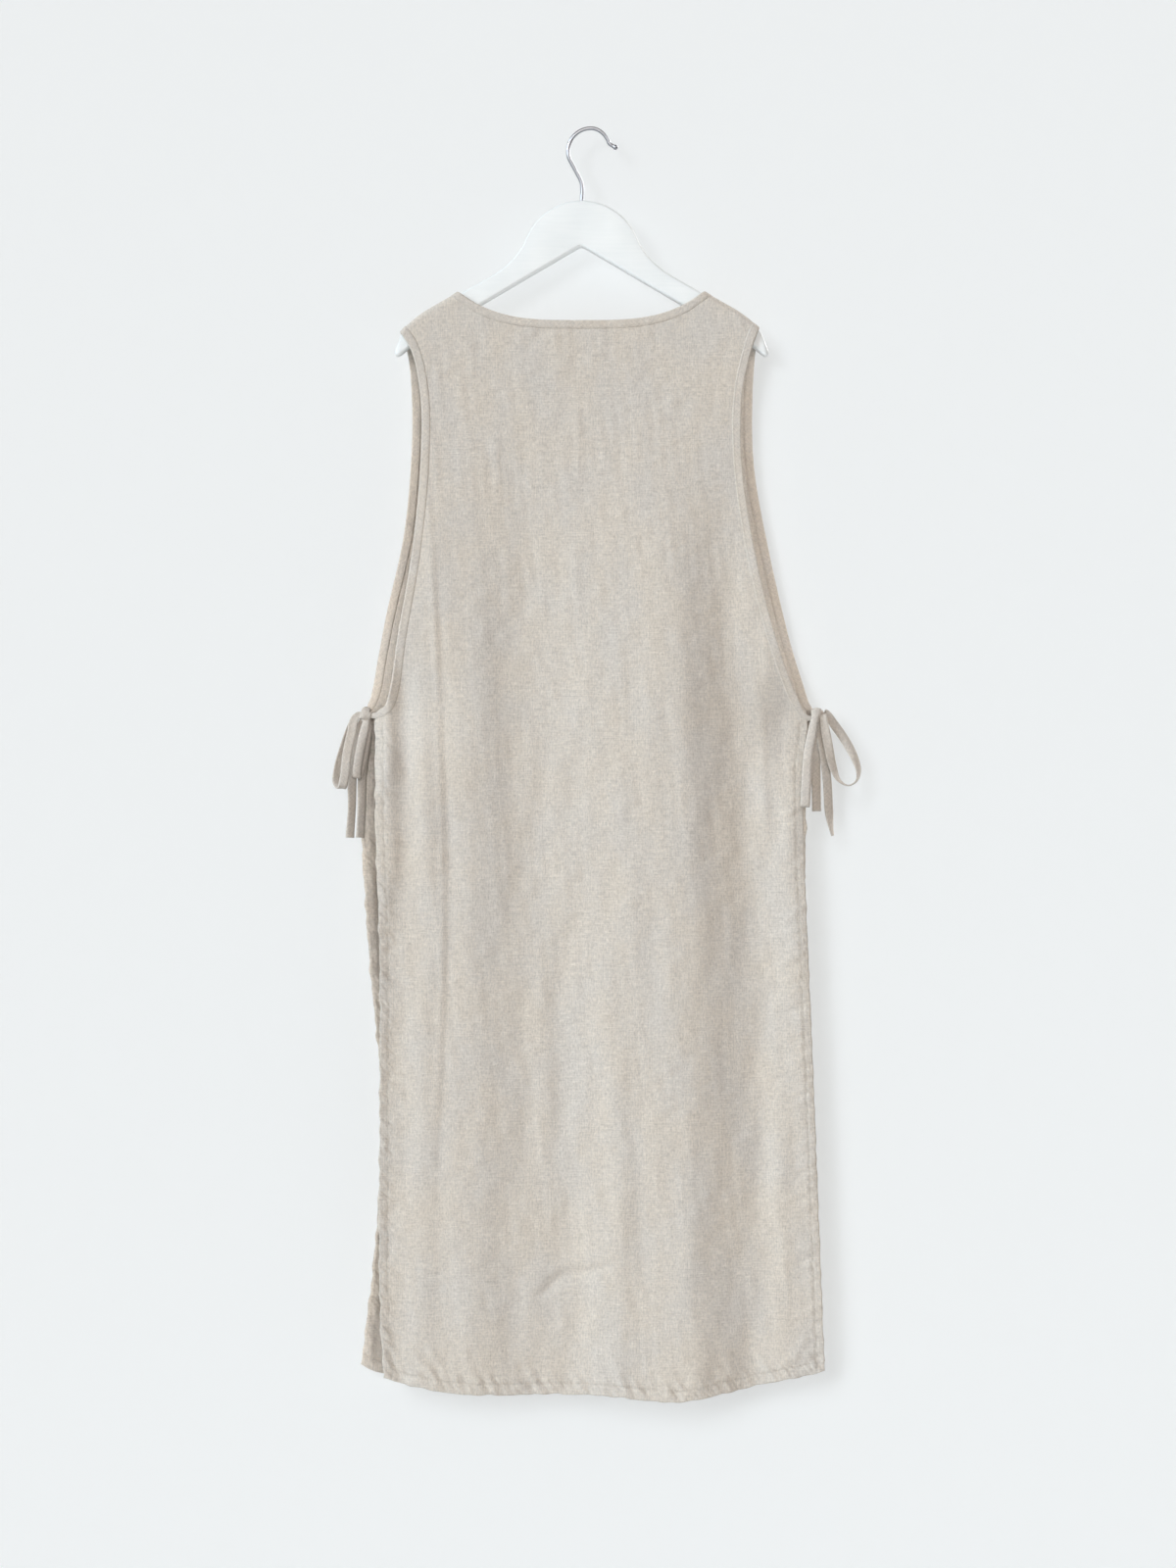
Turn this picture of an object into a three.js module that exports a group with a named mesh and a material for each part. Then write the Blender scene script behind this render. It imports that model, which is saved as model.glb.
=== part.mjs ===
import * as THREE from 'three';
import { RoundedBoxGeometry } from 'three/addons/geometries/RoundedBoxGeometry.js';

// Linen tabard apron with a bow at each side, on a wooden hanger.
// Millimetres, +Z up. The apron's back faces -Y and its front faces +Y.
// The origin is the underside of the hook's top, where a peg carries it.

const { lerp, smoothstep, degToRad } = THREE.MathUtils;

// Cloth thicknesses, strip widths and the clearance between pieces
const LINEN_WALL = 1.2;
const BINDING_WALL = 2;
const BINDING_WIDTH = 9;
const TIE_WALL = 1.4;
const TIE_WIDTH = 9.5;
const GAP = 0.3;
const BINDING_GAP = 0.5;

// Hanger, with half widths measured from its centre line
const HANGER_CENTRE = -9.5;
const HANGER_THICKNESS = 15;
const HANGER_BEVEL = 2.5;
const HANGER_BEVEL_STEPS = 3;
const DOME_TOP = -73;
const DOME_RADIUS = 61;
const DOME_SWEEP = 75;
const DOME_SPANS = 8;
const ARM_APEX = -97.5;
const ARM_SLOPE = 0.57;
const FILLET_CORNER = 62;
const FILLET_END = 84;
const FILLET_SPANS = 4;
const ARM_BEND = 155;
const ARM_DROOP = 0.0078;
const ARM_DROOP_STOPS = [184, 178, 171, 163];
const UNDERSIDE_APEX = -119;
const UNDERSIDE_SLOPE = 0.589;
const UNDERSIDE_END = 176;
const TIP = [
  { half: 186, z: -231 },
  { half: 189.5, z: -231.8 },
  { half: 191.4, z: -229 },
  { half: 188, z: -219 },
];

// Hook wire, with the bowl narrowing towards its tip
const WIRE_RADIUS = 1.9;
const WIRE_SIDES = 8;
const WIRE_STEPS = 36;
const BOWL_RADIUS = 23.5;
const BOWL_NARROWING = 3;
const BOWL_START = 200;
const BOWL_END = 22;
const BOWL_SPANS = 9;
const STEM_TOP = -55;
const NECK_BEND = { x: -14.5, z: -44 };
const BALL_RADIUS = 2.5;
const BALL_CENTRE = { x: 25, z: -17.5 };
const BALL_TURNS = [130, 90, 50, 15];

// How the cloth lies: over the arms at the seam, then standing off and folding
const SEAM_LIFT = 2.2;
const SEAM_HALF_GAP = 0.25;
const SEAM_BLEND = 25;
const WRAP_DEPTH = 11;
const WRAP_POWER = 4;
const STAND_OFF = 20;
const STAND_FROM = 230;
const STAND_FULL = 650;
const FOLD_FROM = 240;
const FOLD_FULL = 600;
const FOLD_LEVELS = { top: -430, mid: -800, low: -1230 };
const PULL_WIDTH = 55;
const PULL_HEIGHT = 45;

// Stops along an edge, in millimetres from its seam or its corner
const SEAM_STOPS = [0, 0.5, 2.5, 8];
const CORNER_STOPS = [0, 7, 16, 28];
const ARMHOLE_SPANS = 10;
const NECK_SPANS = 9;
const NECK_CURVE_SPANS = 24;
const SHOULDER_SPANS = 4;
const SIDE_SPANS = 15;

// One row for each soft fold: its line at three levels, its spread to each side, its rise outwards
const BACK_FOLDS = [
  { fold: 'left_edge', top: -188, mid: -226, low: -224, left: 20, right: 24, rise: 2 },
  { fold: 'left_hollow', top: -178, mid: -196, low: -196, left: 14, right: 16, rise: -1.5 },
  { fold: 'left_roll', top: -162, mid: -166, low: -170, left: 18, right: 14, rise: 2.5 },
  { fold: 'left_swell', top: -128, mid: -122, low: -124, left: 34, right: 32, rise: 4.5 },
  { fold: 'middle_hollow', top: -72, mid: -57, low: -46, left: 34, right: 45, rise: -5 },
  { fold: 'middle_swell', top: 82, mid: 92, low: 100, left: 86, right: 36, rise: 11.5 },
  { fold: 'right_hollow', top: 140, mid: 168, low: 178, left: 30, right: 26, rise: -6.5 },
  { fold: 'right_swell', top: 172, mid: 210, low: 224, left: 18, right: 16, rise: 1.2 },
  { fold: 'right_edge', top: 176, mid: 236, low: 252, left: 18, right: 16, rise: -2 },
];
const FRONT_FOLDS = [
  { fold: 'left_edge', top: -190, mid: -236, low: -232, left: 22, right: 20, rise: -7 },
  { fold: 'left_swell', top: -130, mid: -140, low: -150, left: 30, right: 45, rise: 6 },
  { fold: 'left_hollow', top: -60, mid: -55, low: -62, left: 30, right: 26, rise: -5 },
  { fold: 'middle_swell', top: 0, mid: 5, low: 10, left: 38, right: 40, rise: 6 },
  { fold: 'right_hollow', top: 70, mid: 82, low: 95, left: 28, right: 30, rise: -5 },
  { fold: 'right_swell', top: 135, mid: 158, low: 170, left: 35, right: 25, rise: 6 },
  { fold: 'right_edge', top: 175, mid: 224, low: 232, left: 20, right: 20, rise: -8 },
];

// Panels: facing is the sign of Y. Armholes start at the shoulder end and stop at the tie corner,
// sides go on from there to the hem, and a lead is where the binding meets the knot.
const PANELS = [
  {
    name: 'back',
    facing: -1,
    folds: BACK_FOLDS,
    tieDepth: 4,
    neck: { left: -135.5, right: 115.5, bottom: -196.4, power: 3.4 },
    hem: [
      { x: -211, z: -1274 },
      { x: -174, z: -1284 },
      { x: -127, z: -1290.5 },
      { x: 20, z: -1292 },
      { x: 77, z: -1297 },
      { x: 122, z: -1292 },
      { x: 238, z: -1268 },
    ],
    left: {
      shoulder: -195,
      tie: { x: -222, z: -599 },
      lead: { x: -223.2, z: -595 },
      armhole: [
        { x: -183, z: -229 },
        { x: -174, z: -275 },
        { x: -174, z: -345 },
        { x: -182, z: -430 },
        { x: -197, z: -520 },
        { x: -205, z: -573 },
        { x: -211.5, z: -591 },
        { x: -219.5, z: -595.5 },
      ],
      side: [
        { x: -219.5, z: -640 },
        { x: -219, z: -720 },
        { x: -215, z: -840 },
        { x: -215, z: -1190 },
      ],
    },
    right: {
      shoulder: 172,
      tie: { x: 223, z: -602 },
      lead: { x: 224, z: -598 },
      armhole: [
        { x: 165, z: -224 },
        { x: 155, z: -270 },
        { x: 154, z: -335 },
        { x: 167, z: -430 },
        { x: 188, z: -518 },
        { x: 205, z: -567 },
        { x: 216, z: -590 },
        { x: 222, z: -598 },
      ],
      side: [
        { x: 216.5, z: -650 },
        { x: 216.5, z: -720 },
        { x: 226, z: -960 },
        { x: 233, z: -1140 },
      ],
    },
  },
  {
    name: 'front',
    facing: 1,
    folds: FRONT_FOLDS,
    tieDepth: 3.3,
    neck: { left: -135.5, right: 115.5, bottom: -236, power: 3 },
    hem: [
      { x: -236.5, z: -1267 },
      { x: -120, z: -1280 },
      { x: 0, z: -1284 },
      { x: 120, z: -1280 },
      { x: 231, z: -1264 },
    ],
    left: {
      shoulder: -195,
      tie: { x: -229, z: -597 },
      lead: { x: -235, z: -593 },
      armhole: [
        { x: -188.5, z: -228 },
        { x: -184, z: -280 },
        { x: -185.5, z: -346 },
        { x: -193, z: -417 },
        { x: -211, z: -498 },
        { x: -219.5, z: -544 },
        { x: -225, z: -576 },
        { x: -230.5, z: -590 },
      ],
      side: [
        { x: -236, z: -640 },
        { x: -236, z: -720 },
        { x: -229, z: -842 },
        { x: -216, z: -1000 },
        { x: -222, z: -1140 },
      ],
    },
    right: {
      shoulder: 172,
      tie: { x: 229, z: -600 },
      lead: { x: 234, z: -597 },
      armhole: [
        { x: 169, z: -228 },
        { x: 166, z: -280 },
        { x: 168, z: -346 },
        { x: 183, z: -430 },
        { x: 203.5, z: -518 },
        { x: 217, z: -564 },
        { x: 224, z: -586 },
        { x: 229, z: -594 },
      ],
      side: [
        { x: 222, z: -645 },
        { x: 221, z: -730 },
        { x: 219, z: -840 },
        { x: 224, z: -1060 },
      ],
    },
  },
];

// Knots of the bows
const KNOT_RADIUS = 3;
const KNOT_STEPS = 2;
const KNOTS = [
  { name: 'left_knot', low: { x: -237, y: -8, z: -606 }, high: { x: -223.5, y: 2, z: -592 } },
  { name: 'right_knot', low: { x: 224.3, y: -9, z: -608 }, high: { x: 238.3, y: 2, z: -594 } },
];

// Routes of the ties; yaw turns the strip's width from across the back (0) to edge-on (90)
const TIE_STEPS = 3;
const TIES = [
  {
    name: 'left_back_loop',
    route: [
      { x: -238.6, y: 2.5, z: -597, yaw: 70 },
      { x: -246, y: 4, z: -608, yaw: 65 },
      { x: -254, y: 5, z: -630, yaw: 60 },
      { x: -260, y: 3, z: -654, yaw: 50 },
      { x: -260, y: -2, z: -669, yaw: 30 },
      { x: -255, y: -7, z: -674, yaw: 15 },
      { x: -251.5, y: -10, z: -662, yaw: 5 },
      { x: -249.5, y: -10.5, z: -640, yaw: 5 },
      { x: -246, y: -9, z: -620, yaw: 5 },
      { x: -242.1, y: -5, z: -602, yaw: 0 },
    ],
  },
  {
    name: 'left_front_loop',
    route: [
      { x: -230, y: -6.6, z: -607.6, yaw: 0 },
      { x: -233, y: -7.5, z: -622, yaw: 10 },
      { x: -237, y: -7.8, z: -642, yaw: 15 },
      { x: -239.5, y: -7, z: -660, yaw: 15 },
      { x: -239.5, y: -4.6, z: -663.5, yaw: 15 },
      { x: -236.5, y: -3.4, z: -656, yaw: 15 },
      { x: -232, y: -3.6, z: -636, yaw: 10 },
      { x: -228.5, y: -4.3, z: -607.6, yaw: 0 },
    ],
  },
  {
    name: 'left_back_tail',
    route: [
      { x: -232, y: -2.2, z: -607.6, yaw: 0 },
      { x: -238, y: -0.8, z: -632, yaw: 10 },
      { x: -244.5, y: -0.8, z: -664, yaw: 20 },
      { x: -245, y: 0, z: -695, yaw: 40 },
      { x: -247, y: 0, z: -725, yaw: 30 },
    ],
  },
  {
    name: 'left_front_tail',
    route: [
      { x: -229, y: 0, z: -606.4, yaw: 0 },
      { x: -231, y: 3.4, z: -632, yaw: 15 },
      { x: -234.5, y: 3.6, z: -664, yaw: 20 },
      { x: -235, y: 1, z: -695, yaw: 30 },
      { x: -236.5, y: 0, z: -725, yaw: 30 },
    ],
  },
  {
    name: 'right_back_loop',
    route: [
      { x: 242.5, y: -1, z: -599, yaw: 5 },
      { x: 251, y: -1, z: -612, yaw: 10 },
      { x: 261, y: -1.5, z: -626, yaw: 20 },
      { x: 269, y: -2.5, z: -641, yaw: 45 },
      { x: 274, y: -3, z: -656, yaw: 75 },
      { x: 271.5, y: -4, z: -667, yaw: 90 },
      { x: 263, y: -5.5, z: -671.5, yaw: 90 },
      { x: 253.5, y: -7.5, z: -666, yaw: 80 },
      { x: 247.5, y: -9.5, z: -652, yaw: 45 },
      { x: 245, y: -10, z: -632, yaw: 15 },
      { x: 243.5, y: -8, z: -603, yaw: 0 },
    ],
  },
  {
    name: 'right_front_loop',
    route: [
      { x: 228, y: -8.2, z: -610, yaw: 0 },
      { x: 224.5, y: -16, z: -622, yaw: 0 },
      { x: 220.5, y: -22, z: -642, yaw: 0 },
      { x: 218.5, y: -25.4, z: -668, yaw: 0 },
      { x: 217.5, y: -26.2, z: -690, yaw: 0 },
      { x: 217.5, y: -24.7, z: -693, yaw: 0 },
      { x: 218, y: -23.2, z: -690, yaw: 0 },
      { x: 219.5, y: -21.8, z: -668, yaw: 0 },
      { x: 222, y: -18, z: -642, yaw: 0 },
      { x: 226, y: -11.5, z: -624, yaw: 0 },
      { x: 229.5, y: -5.4, z: -610, yaw: 0 },
    ],
  },
  {
    name: 'right_back_tail',
    route: [
      { x: 233, y: -3.3, z: -609, yaw: 0 },
      { x: 238, y: -3, z: -636, yaw: 20 },
      { x: 242, y: -2, z: -668, yaw: 25 },
      { x: 244, y: -1, z: -698, yaw: 20 },
      { x: 247.5, y: -1, z: -723, yaw: 40 },
    ],
  },
  {
    name: 'right_front_tail',
    route: [
      { x: 230.5, y: -1.1, z: -608.4, yaw: 0 },
      { x: 230.5, y: 1.5, z: -630, yaw: 0 },
      { x: 231, y: 3, z: -662, yaw: 5 },
      { x: 231.5, y: 2, z: -698, yaw: 10 },
    ],
  },
];

const linen = () => new THREE.MeshStandardMaterial({ color: 0xcfc7bf, roughness: 0.92 });
const paint = () => new THREE.MeshStandardMaterial({ color: 0xf1f3f3, roughness: 0.4 });
const steel = () => new THREE.MeshStandardMaterial({ color: 0xa9acb0, roughness: 0.25, metalness: 1 });

// Height of the hanger's upper edge over x: a straight slope that droops past the bend
function armTop(x) {
  const half = Math.abs(x - HANGER_CENTRE);
  const past = Math.max(0, half - ARM_BEND);
  return ARM_APEX - ARM_SLOPE * half - ARM_DROOP * past ** 2;
}

// Height of the shoulder seam's mid surface, resting on the arms
function seam(x) {
  return armTop(x) + SEAM_LIFT;
}

// Closed body through rings with an even number of points; each end is a strip of facing pairs
function closedLoft(rings) {
  const around = rings[0].length;
  const points = rings.flat();
  const faces = [];
  const quad = (a, b, c, d) => faces.push(a, b, c, a, c, d);
  for (let ring = 0; ring + 1 < rings.length; ring += 1) {
    for (let side = 0; side < around; side += 1) {
      const next = (side + 1) % around;
      const here = ring * around;
      quad(here + side, here + next, here + around + next, here + around + side);
    }
  }
  const last = (rings.length - 1) * around;
  for (let side = 0; side + 1 < around / 2; side += 1) {
    const across = around - 1 - side;
    quad(side, across, across - 1, side + 1);
    quad(last + side, last + side + 1, last + across - 1, last + across);
  }
  let volume = 0;
  for (let corner = 0; corner < faces.length; corner += 3) {
    const [a, b, c] = [0, 1, 2].map((step) => points[faces[corner + step]]);
    volume += a.dot(new THREE.Vector3().crossVectors(b, c));
  }
  if (volume < 0) faces.reverse();
  const geometry = new THREE.BufferGeometry().setFromPoints(points);
  geometry.setIndex(faces);
  geometry.computeVertexNormals();
  return geometry;
}

// Wall of one thickness about a grid of mid-surface points, offset along the grid's normals
function wall(grid, thickness) {
  const pick = (list, at) => list[Math.min(Math.max(at, 0), list.length - 1)];
  const rings = grid.map((row, j) => {
    const outer = [];
    const inner = [];
    row.forEach((point, i) => {
      const across = pick(row, i + 1).clone().sub(pick(row, i - 1));
      const along = pick(grid, j + 1)[i].clone().sub(pick(grid, j - 1)[i]);
      const out = across.cross(along).normalize().multiplyScalar(thickness / 2);
      outer.push(point.clone().add(out));
      inner.unshift(point.clone().sub(out));
    });
    return [...outer, ...inner];
  });
  return closedLoft(rings);
}

// Distance out from the seam's plane for a drop below the seam: a squared-off quarter round
function wrap(drop) {
  const rest = 1 - Math.min(Math.max(drop, 0), WRAP_DEPTH) / WRAP_DEPTH;
  const round = (1 - rest ** WRAP_POWER) ** (1 / WRAP_POWER);
  return lerp(SEAM_HALF_GAP, WRAP_DEPTH, round);
}

function foldLine(fold, z) {
  const { top, mid, low } = FOLD_LEVELS;
  if (z > mid) return lerp(fold.mid, fold.top, Math.min(1, (z - mid) / (top - mid)));
  return lerp(fold.mid, fold.low, (z - mid) / (low - mid));
}

// Sum of the folds' bell shapes, growing down the panel
function foldRise(folds, x, z) {
  const grow = smoothstep(-z, FOLD_FROM, FOLD_FULL);
  const rises = folds.map((fold) => {
    const away = x - foldLine(fold, z);
    const spread = away < 0 ? fold.left : fold.right;
    return fold.rise * Math.exp(-((away / spread) ** 2));
  });
  return grow * rises.reduce((sum, rise) => sum + rise, 0);
}

// Y of a panel's mid surface over (x, z), drawn in towards the ties at the sides
function depth(panel, x, z) {
  const stand = (STAND_OFF - WRAP_DEPTH) * smoothstep(-z, STAND_FROM, STAND_FULL);
  const free = wrap(seam(x) - z) + stand + foldRise(panel.folds, x, z);
  const pulls = [panel.left, panel.right].map(({ tie }) => {
    const away = ((x - tie.x) / PULL_WIDTH) ** 2 + ((z - tie.z) / PULL_HEIGHT) ** 2;
    return Math.exp(-away);
  });
  return panel.facing * lerp(free, panel.tieDepth, Math.max(...pulls));
}

function raise(panel, grid) {
  return grid.map((row) => row.map(({ x, z }) => new THREE.Vector3(x, depth(panel, x, z), z)));
}

function flatCurve(rows) {
  return new THREE.CatmullRomCurve3(rows.map(({ x, z }) => new THREE.Vector3(x, 0, z)));
}

// Stops along a length: close together at both ends, even between
function stopsAlong(length, starts, spans, ends) {
  const from = starts.at(-1);
  const to = length - ends.at(-1);
  const even = Array.from({ length: spans - 1 }, (_, k) => lerp(from, to, (k + 1) / spans));
  return [...starts, ...even, ...ends.map((end) => length - end).reverse()];
}

// Binding sections along an edge: outer edge, middle, inner edge and the panel's edge beside it.
// Near the seam they turn to lie along it; hand is 1 where the panel is left of the run, else -1.
function bindingSections(curve, stops, hand, bothEnds) {
  const length = curve.getLength();
  const reaches = [0, BINDING_WIDTH / 2, BINDING_WIDTH, BINDING_WIDTH + BINDING_GAP];
  return stops.map((stop) => {
    const at = curve.getPointAt(stop / length);
    const run = curve.getTangentAt(stop / length);
    const fromSeam = bothEnds ? Math.min(stop, length - stop) : stop;
    const hold = 1 - smoothstep(fromSeam, 0, SEAM_BLEND);
    const inward = new THREE.Vector3(-hand * run.z, 0, hand * run.x);
    const alongSeam = new THREE.Vector3(Math.sign(inward.x), 0, 0);
    alongSeam.z = seam(at.x + alongSeam.x) - seam(at.x);
    inward.lerp(alongSeam.normalize(), hold).normalize();
    return reaches.map((reach) => {
      const point = at.clone().addScaledVector(inward, reach);
      point.z = lerp(point.z, seam(point.x) - seam(at.x) + at.z, hold);
      return point;
    });
  });
}

function armholeSections(side, hand) {
  const start = { x: side.shoulder, z: seam(side.shoulder) };
  const curve = flatCurve([start, ...side.armhole]);
  const stops = stopsAlong(curve.getLength(), SEAM_STOPS, ARMHOLE_SPANS, CORNER_STOPS);
  return bindingSections(curve, stops, hand, false);
}

// Neck edge: a flat-bottomed dip between the two neck points on the seam
function neckSections({ left, right, bottom, power }) {
  const middle = (left + right) / 2;
  const half = (right - left) / 2;
  const rows = Array.from({ length: NECK_CURVE_SPANS + 1 }, (_, k) => {
    const across = -Math.cos((Math.PI * k) / NECK_CURVE_SPANS);
    const x = middle + half * across;
    const rim = across < 0 ? seam(left) : seam(right);
    return { x, z: lerp(bottom, rim, Math.abs(across) ** power) };
  });
  const curve = flatCurve(rows);
  const stops = stopsAlong(curve.getLength(), SEAM_STOPS, NECK_SPANS, SEAM_STOPS);
  return bindingSections(curve, stops, -1, true);
}

// Seam points between two binding sections, ends left out
function seamPoints(from, to) {
  return Array.from({ length: SHOULDER_SPANS - 1 }, (_, k) => {
    const x = lerp(from.x, to.x, (k + 1) / SHOULDER_SPANS);
    return new THREE.Vector3(x, 0, seam(x));
  });
}

// Side edge from the armhole's corner down to the hem
function sidePoints(corner, side, hemCorner) {
  const curve = flatCurve([corner, ...side.side, hemCorner]);
  return curve.getSpacedPoints(SIDE_SPANS).slice(1);
}

// Flat panel filled between its four edges: each row blends the top and hem, then bends to the sides
function panelGrid(panel, neck, left, right) {
  const edge = (section) => section.at(-1);
  const [leftTop, rightTop] = [edge(left[0]), edge(right[0])];
  const neckEdge = neck.map(edge);
  const top = [
    leftTop,
    ...seamPoints(leftTop, neckEdge[0]),
    ...neckEdge,
    ...seamPoints(neckEdge.at(-1), rightTop),
    rightTop,
  ];
  const hem = flatCurve(panel.hem).getSpacedPoints(top.length - 1);
  const leftEdge = [...left.map(edge), ...sidePoints(edge(left.at(-1)), panel.left, panel.hem[0])];
  const rightEdge = [...right.map(edge), ...sidePoints(edge(right.at(-1)), panel.right, panel.hem.at(-1))];
  return leftEdge.map((leftPoint, j) => {
    const down = (leftTop.z - leftPoint.z) / (leftTop.z - hem[0].z);
    const leftBend = leftPoint.clone().sub(leftTop.clone().lerp(hem[0], down));
    const rightBend = rightEdge[j].clone().sub(rightTop.clone().lerp(hem.at(-1), down));
    return top.map((topPoint, i) => {
      const bend = leftBend.clone().lerp(rightBend, i / (top.length - 1));
      return topPoint.clone().lerp(hem[i], down).add(bend);
    });
  });
}

// Binding strip on its panel's surface, without the panel's own edge
function binding(panel, sections, lead) {
  const grid = sections.map((section) => section.slice(0, -1));
  if (lead) {
    const drops = [0, BINDING_WIDTH / 2, BINDING_WIDTH];
    grid.push(drops.map((drop) => new THREE.Vector3(lead.x, 0, lead.z - drop)));
  }
  return wall(raise(panel, grid), BINDING_WALL);
}

// Flat strip along a route, its width held level and turned by the route's yaw
function tieStrip(route) {
  const curve = new THREE.CatmullRomCurve3(route.map(({ x, y, z }) => new THREE.Vector3(x, y, z)));
  const spans = route.length - 1;
  const grid = Array.from({ length: spans * TIE_STEPS + 1 }, (_, k) => {
    const along = k / TIE_STEPS;
    const from = Math.min(Math.floor(along), spans - 1);
    const yaw = degToRad(lerp(route[from].yaw, route[from + 1].yaw, along - from));
    const at = curve.getPoint(along / spans);
    const run = curve.getTangent(along / spans);
    const across = new THREE.Vector3(Math.cos(yaw), Math.sin(yaw), 0);
    across.addScaledVector(run, -across.dot(run)).setLength(TIE_WIDTH / 2);
    return [at.clone().sub(across), at.clone().add(across)];
  });
  return wall(grid, TIE_WALL);
}

function knot({ low, high }) {
  const size = new THREE.Vector3().subVectors(high, low);
  const middle = new THREE.Vector3().addVectors(high, low).divideScalar(2);
  const geometry = new RoundedBoxGeometry(size.x, size.y, size.z, KNOT_STEPS, KNOT_RADIUS);
  return geometry.translate(middle.x, middle.y, middle.z);
}

// Half of the hanger's outline, from the underside's apex round the tip to the dome's top
function hangerHalf() {
  const top = (half) => new THREE.Vector2(half, armTop(HANGER_CENTRE + half));
  const sweep = degToRad(DOME_SWEEP);
  const right = Math.PI / 2;
  const domeCentre = DOME_TOP - DOME_RADIUS;
  const dome = new THREE.EllipseCurve(
    0, domeCentre, DOME_RADIUS, DOME_RADIUS, right - sweep, right, false,
  ).getPoints(DOME_SPANS);
  const fillet = new THREE.QuadraticBezierCurve(top(FILLET_END), top(FILLET_CORNER), dome[0]);
  return [
    new THREE.Vector2(0, UNDERSIDE_APEX),
    new THREE.Vector2(UNDERSIDE_END, UNDERSIDE_APEX - UNDERSIDE_SLOPE * UNDERSIDE_END),
    ...TIP.map(({ half, z }) => new THREE.Vector2(half, z)),
    ...[...ARM_DROOP_STOPS, ARM_BEND].map(top),
    ...fillet.getPoints(FILLET_SPANS),
    ...dome.slice(1),
  ];
}

function hangerBody() {
  const half = hangerHalf();
  const mirrored = half.slice(1, -1).reverse();
  const outline = [...half, ...mirrored.map(({ x, y }) => new THREE.Vector2(-x, y))];
  const flat = HANGER_THICKNESS - 2 * HANGER_BEVEL;
  const geometry = new THREE.ExtrudeGeometry(new THREE.Shape(outline), {
    depth: flat,
    bevelThickness: HANGER_BEVEL,
    bevelSize: HANGER_BEVEL,
    bevelOffset: -HANGER_BEVEL,
    bevelSegments: HANGER_BEVEL_STEPS,
  });
  return geometry.translate(HANGER_CENTRE, 0, -flat / 2).rotateX(Math.PI / 2);
}

// Wire along a flat curve: up the stem, round the bowl and out to the ball at the tip
function hangerHook() {
  const bowlCentre = WIRE_RADIUS - BOWL_RADIUS;
  const bowl = Array.from({ length: BOWL_SPANS + 1 }, (_, k) => {
    const turn = lerp(BOWL_START, BOWL_END, k / BOWL_SPANS);
    const narrow = BOWL_NARROWING * smoothstep(90 - turn, 0, 90 - BOWL_END);
    const [x, z] = [Math.cos(degToRad(turn)), Math.sin(degToRad(turn))];
    return { x: x * (BOWL_RADIUS - narrow), z: bowlCentre + z * (BOWL_RADIUS - narrow) };
  });
  const stem = [{ x: HANGER_CENTRE, z: DOME_TOP + GAP }, { x: HANGER_CENTRE, z: STEM_TOP }];
  const curve = flatCurve([...stem, NECK_BEND, ...bowl, BALL_CENTRE]);
  const ring = (at, run, radius) => Array.from({ length: WIRE_SIDES }, (_, k) => {
    const turn = (2 * Math.PI * k) / WIRE_SIDES;
    const inPlane = new THREE.Vector3(-run.z, 0, run.x).multiplyScalar(radius * Math.cos(turn));
    return at.clone().add(inPlane).add(new THREE.Vector3(0, radius * Math.sin(turn), 0));
  });
  const wireEnd = 1 - BALL_RADIUS / curve.getLength();
  const rings = Array.from({ length: WIRE_STEPS + 1 }, (_, k) => {
    const along = (wireEnd * k) / WIRE_STEPS;
    return ring(curve.getPointAt(along), curve.getTangentAt(along), WIRE_RADIUS);
  });
  const out = curve.getTangentAt(1);
  const ball = BALL_TURNS.map((turn) => {
    const at = curve.getPointAt(1).addScaledVector(out, BALL_RADIUS * Math.cos(degToRad(turn)));
    return ring(at, out, BALL_RADIUS * Math.sin(degToRad(turn)));
  });
  return closedLoft([...rings, ...ball]);
}

const apron = new THREE.Group();

function add(name, geometry, material) {
  const mesh = new THREE.Mesh(geometry, material);
  mesh.name = name;
  apron.add(mesh);
}

add('hanger_body', hangerBody(), paint());
add('hanger_hook', hangerHook(), steel());
for (const panel of PANELS) {
  const neck = neckSections(panel.neck);
  const left = armholeSections(panel.left, 1);
  const right = armholeSections(panel.right, -1);
  add(`${panel.name}_panel`, wall(raise(panel, panelGrid(panel, neck, left, right)), LINEN_WALL), linen());
  add(`${panel.name}_neck_binding`, binding(panel, neck), linen());
  add(`${panel.name}_left_armhole_binding`, binding(panel, left, panel.left.lead), linen());
  add(`${panel.name}_right_armhole_binding`, binding(panel, right, panel.right.lead), linen());
}
for (const item of KNOTS) add(item.name, knot(item), linen());
for (const { name, route } of TIES) add(name, tieStrip(route), linen());

export default apron;
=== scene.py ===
import math

import bpy
import numpy as np
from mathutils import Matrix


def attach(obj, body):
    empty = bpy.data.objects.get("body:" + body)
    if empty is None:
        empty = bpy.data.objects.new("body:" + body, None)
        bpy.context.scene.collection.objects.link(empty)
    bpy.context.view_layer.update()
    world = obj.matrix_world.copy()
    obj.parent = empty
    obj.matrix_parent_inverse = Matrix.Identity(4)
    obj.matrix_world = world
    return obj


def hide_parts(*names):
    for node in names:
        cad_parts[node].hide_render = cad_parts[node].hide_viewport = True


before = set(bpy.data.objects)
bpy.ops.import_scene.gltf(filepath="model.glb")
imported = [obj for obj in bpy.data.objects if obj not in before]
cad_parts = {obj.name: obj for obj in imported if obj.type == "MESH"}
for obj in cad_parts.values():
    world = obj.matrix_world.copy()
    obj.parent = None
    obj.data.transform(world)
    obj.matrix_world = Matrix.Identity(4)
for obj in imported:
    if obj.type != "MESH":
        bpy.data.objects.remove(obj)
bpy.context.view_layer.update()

mm = 0.001  # the tables below are in millimetres, the meshes in metres
phaseSpan = 6.3  # seeded phases lie between 0 and this, a little over one turn
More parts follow.
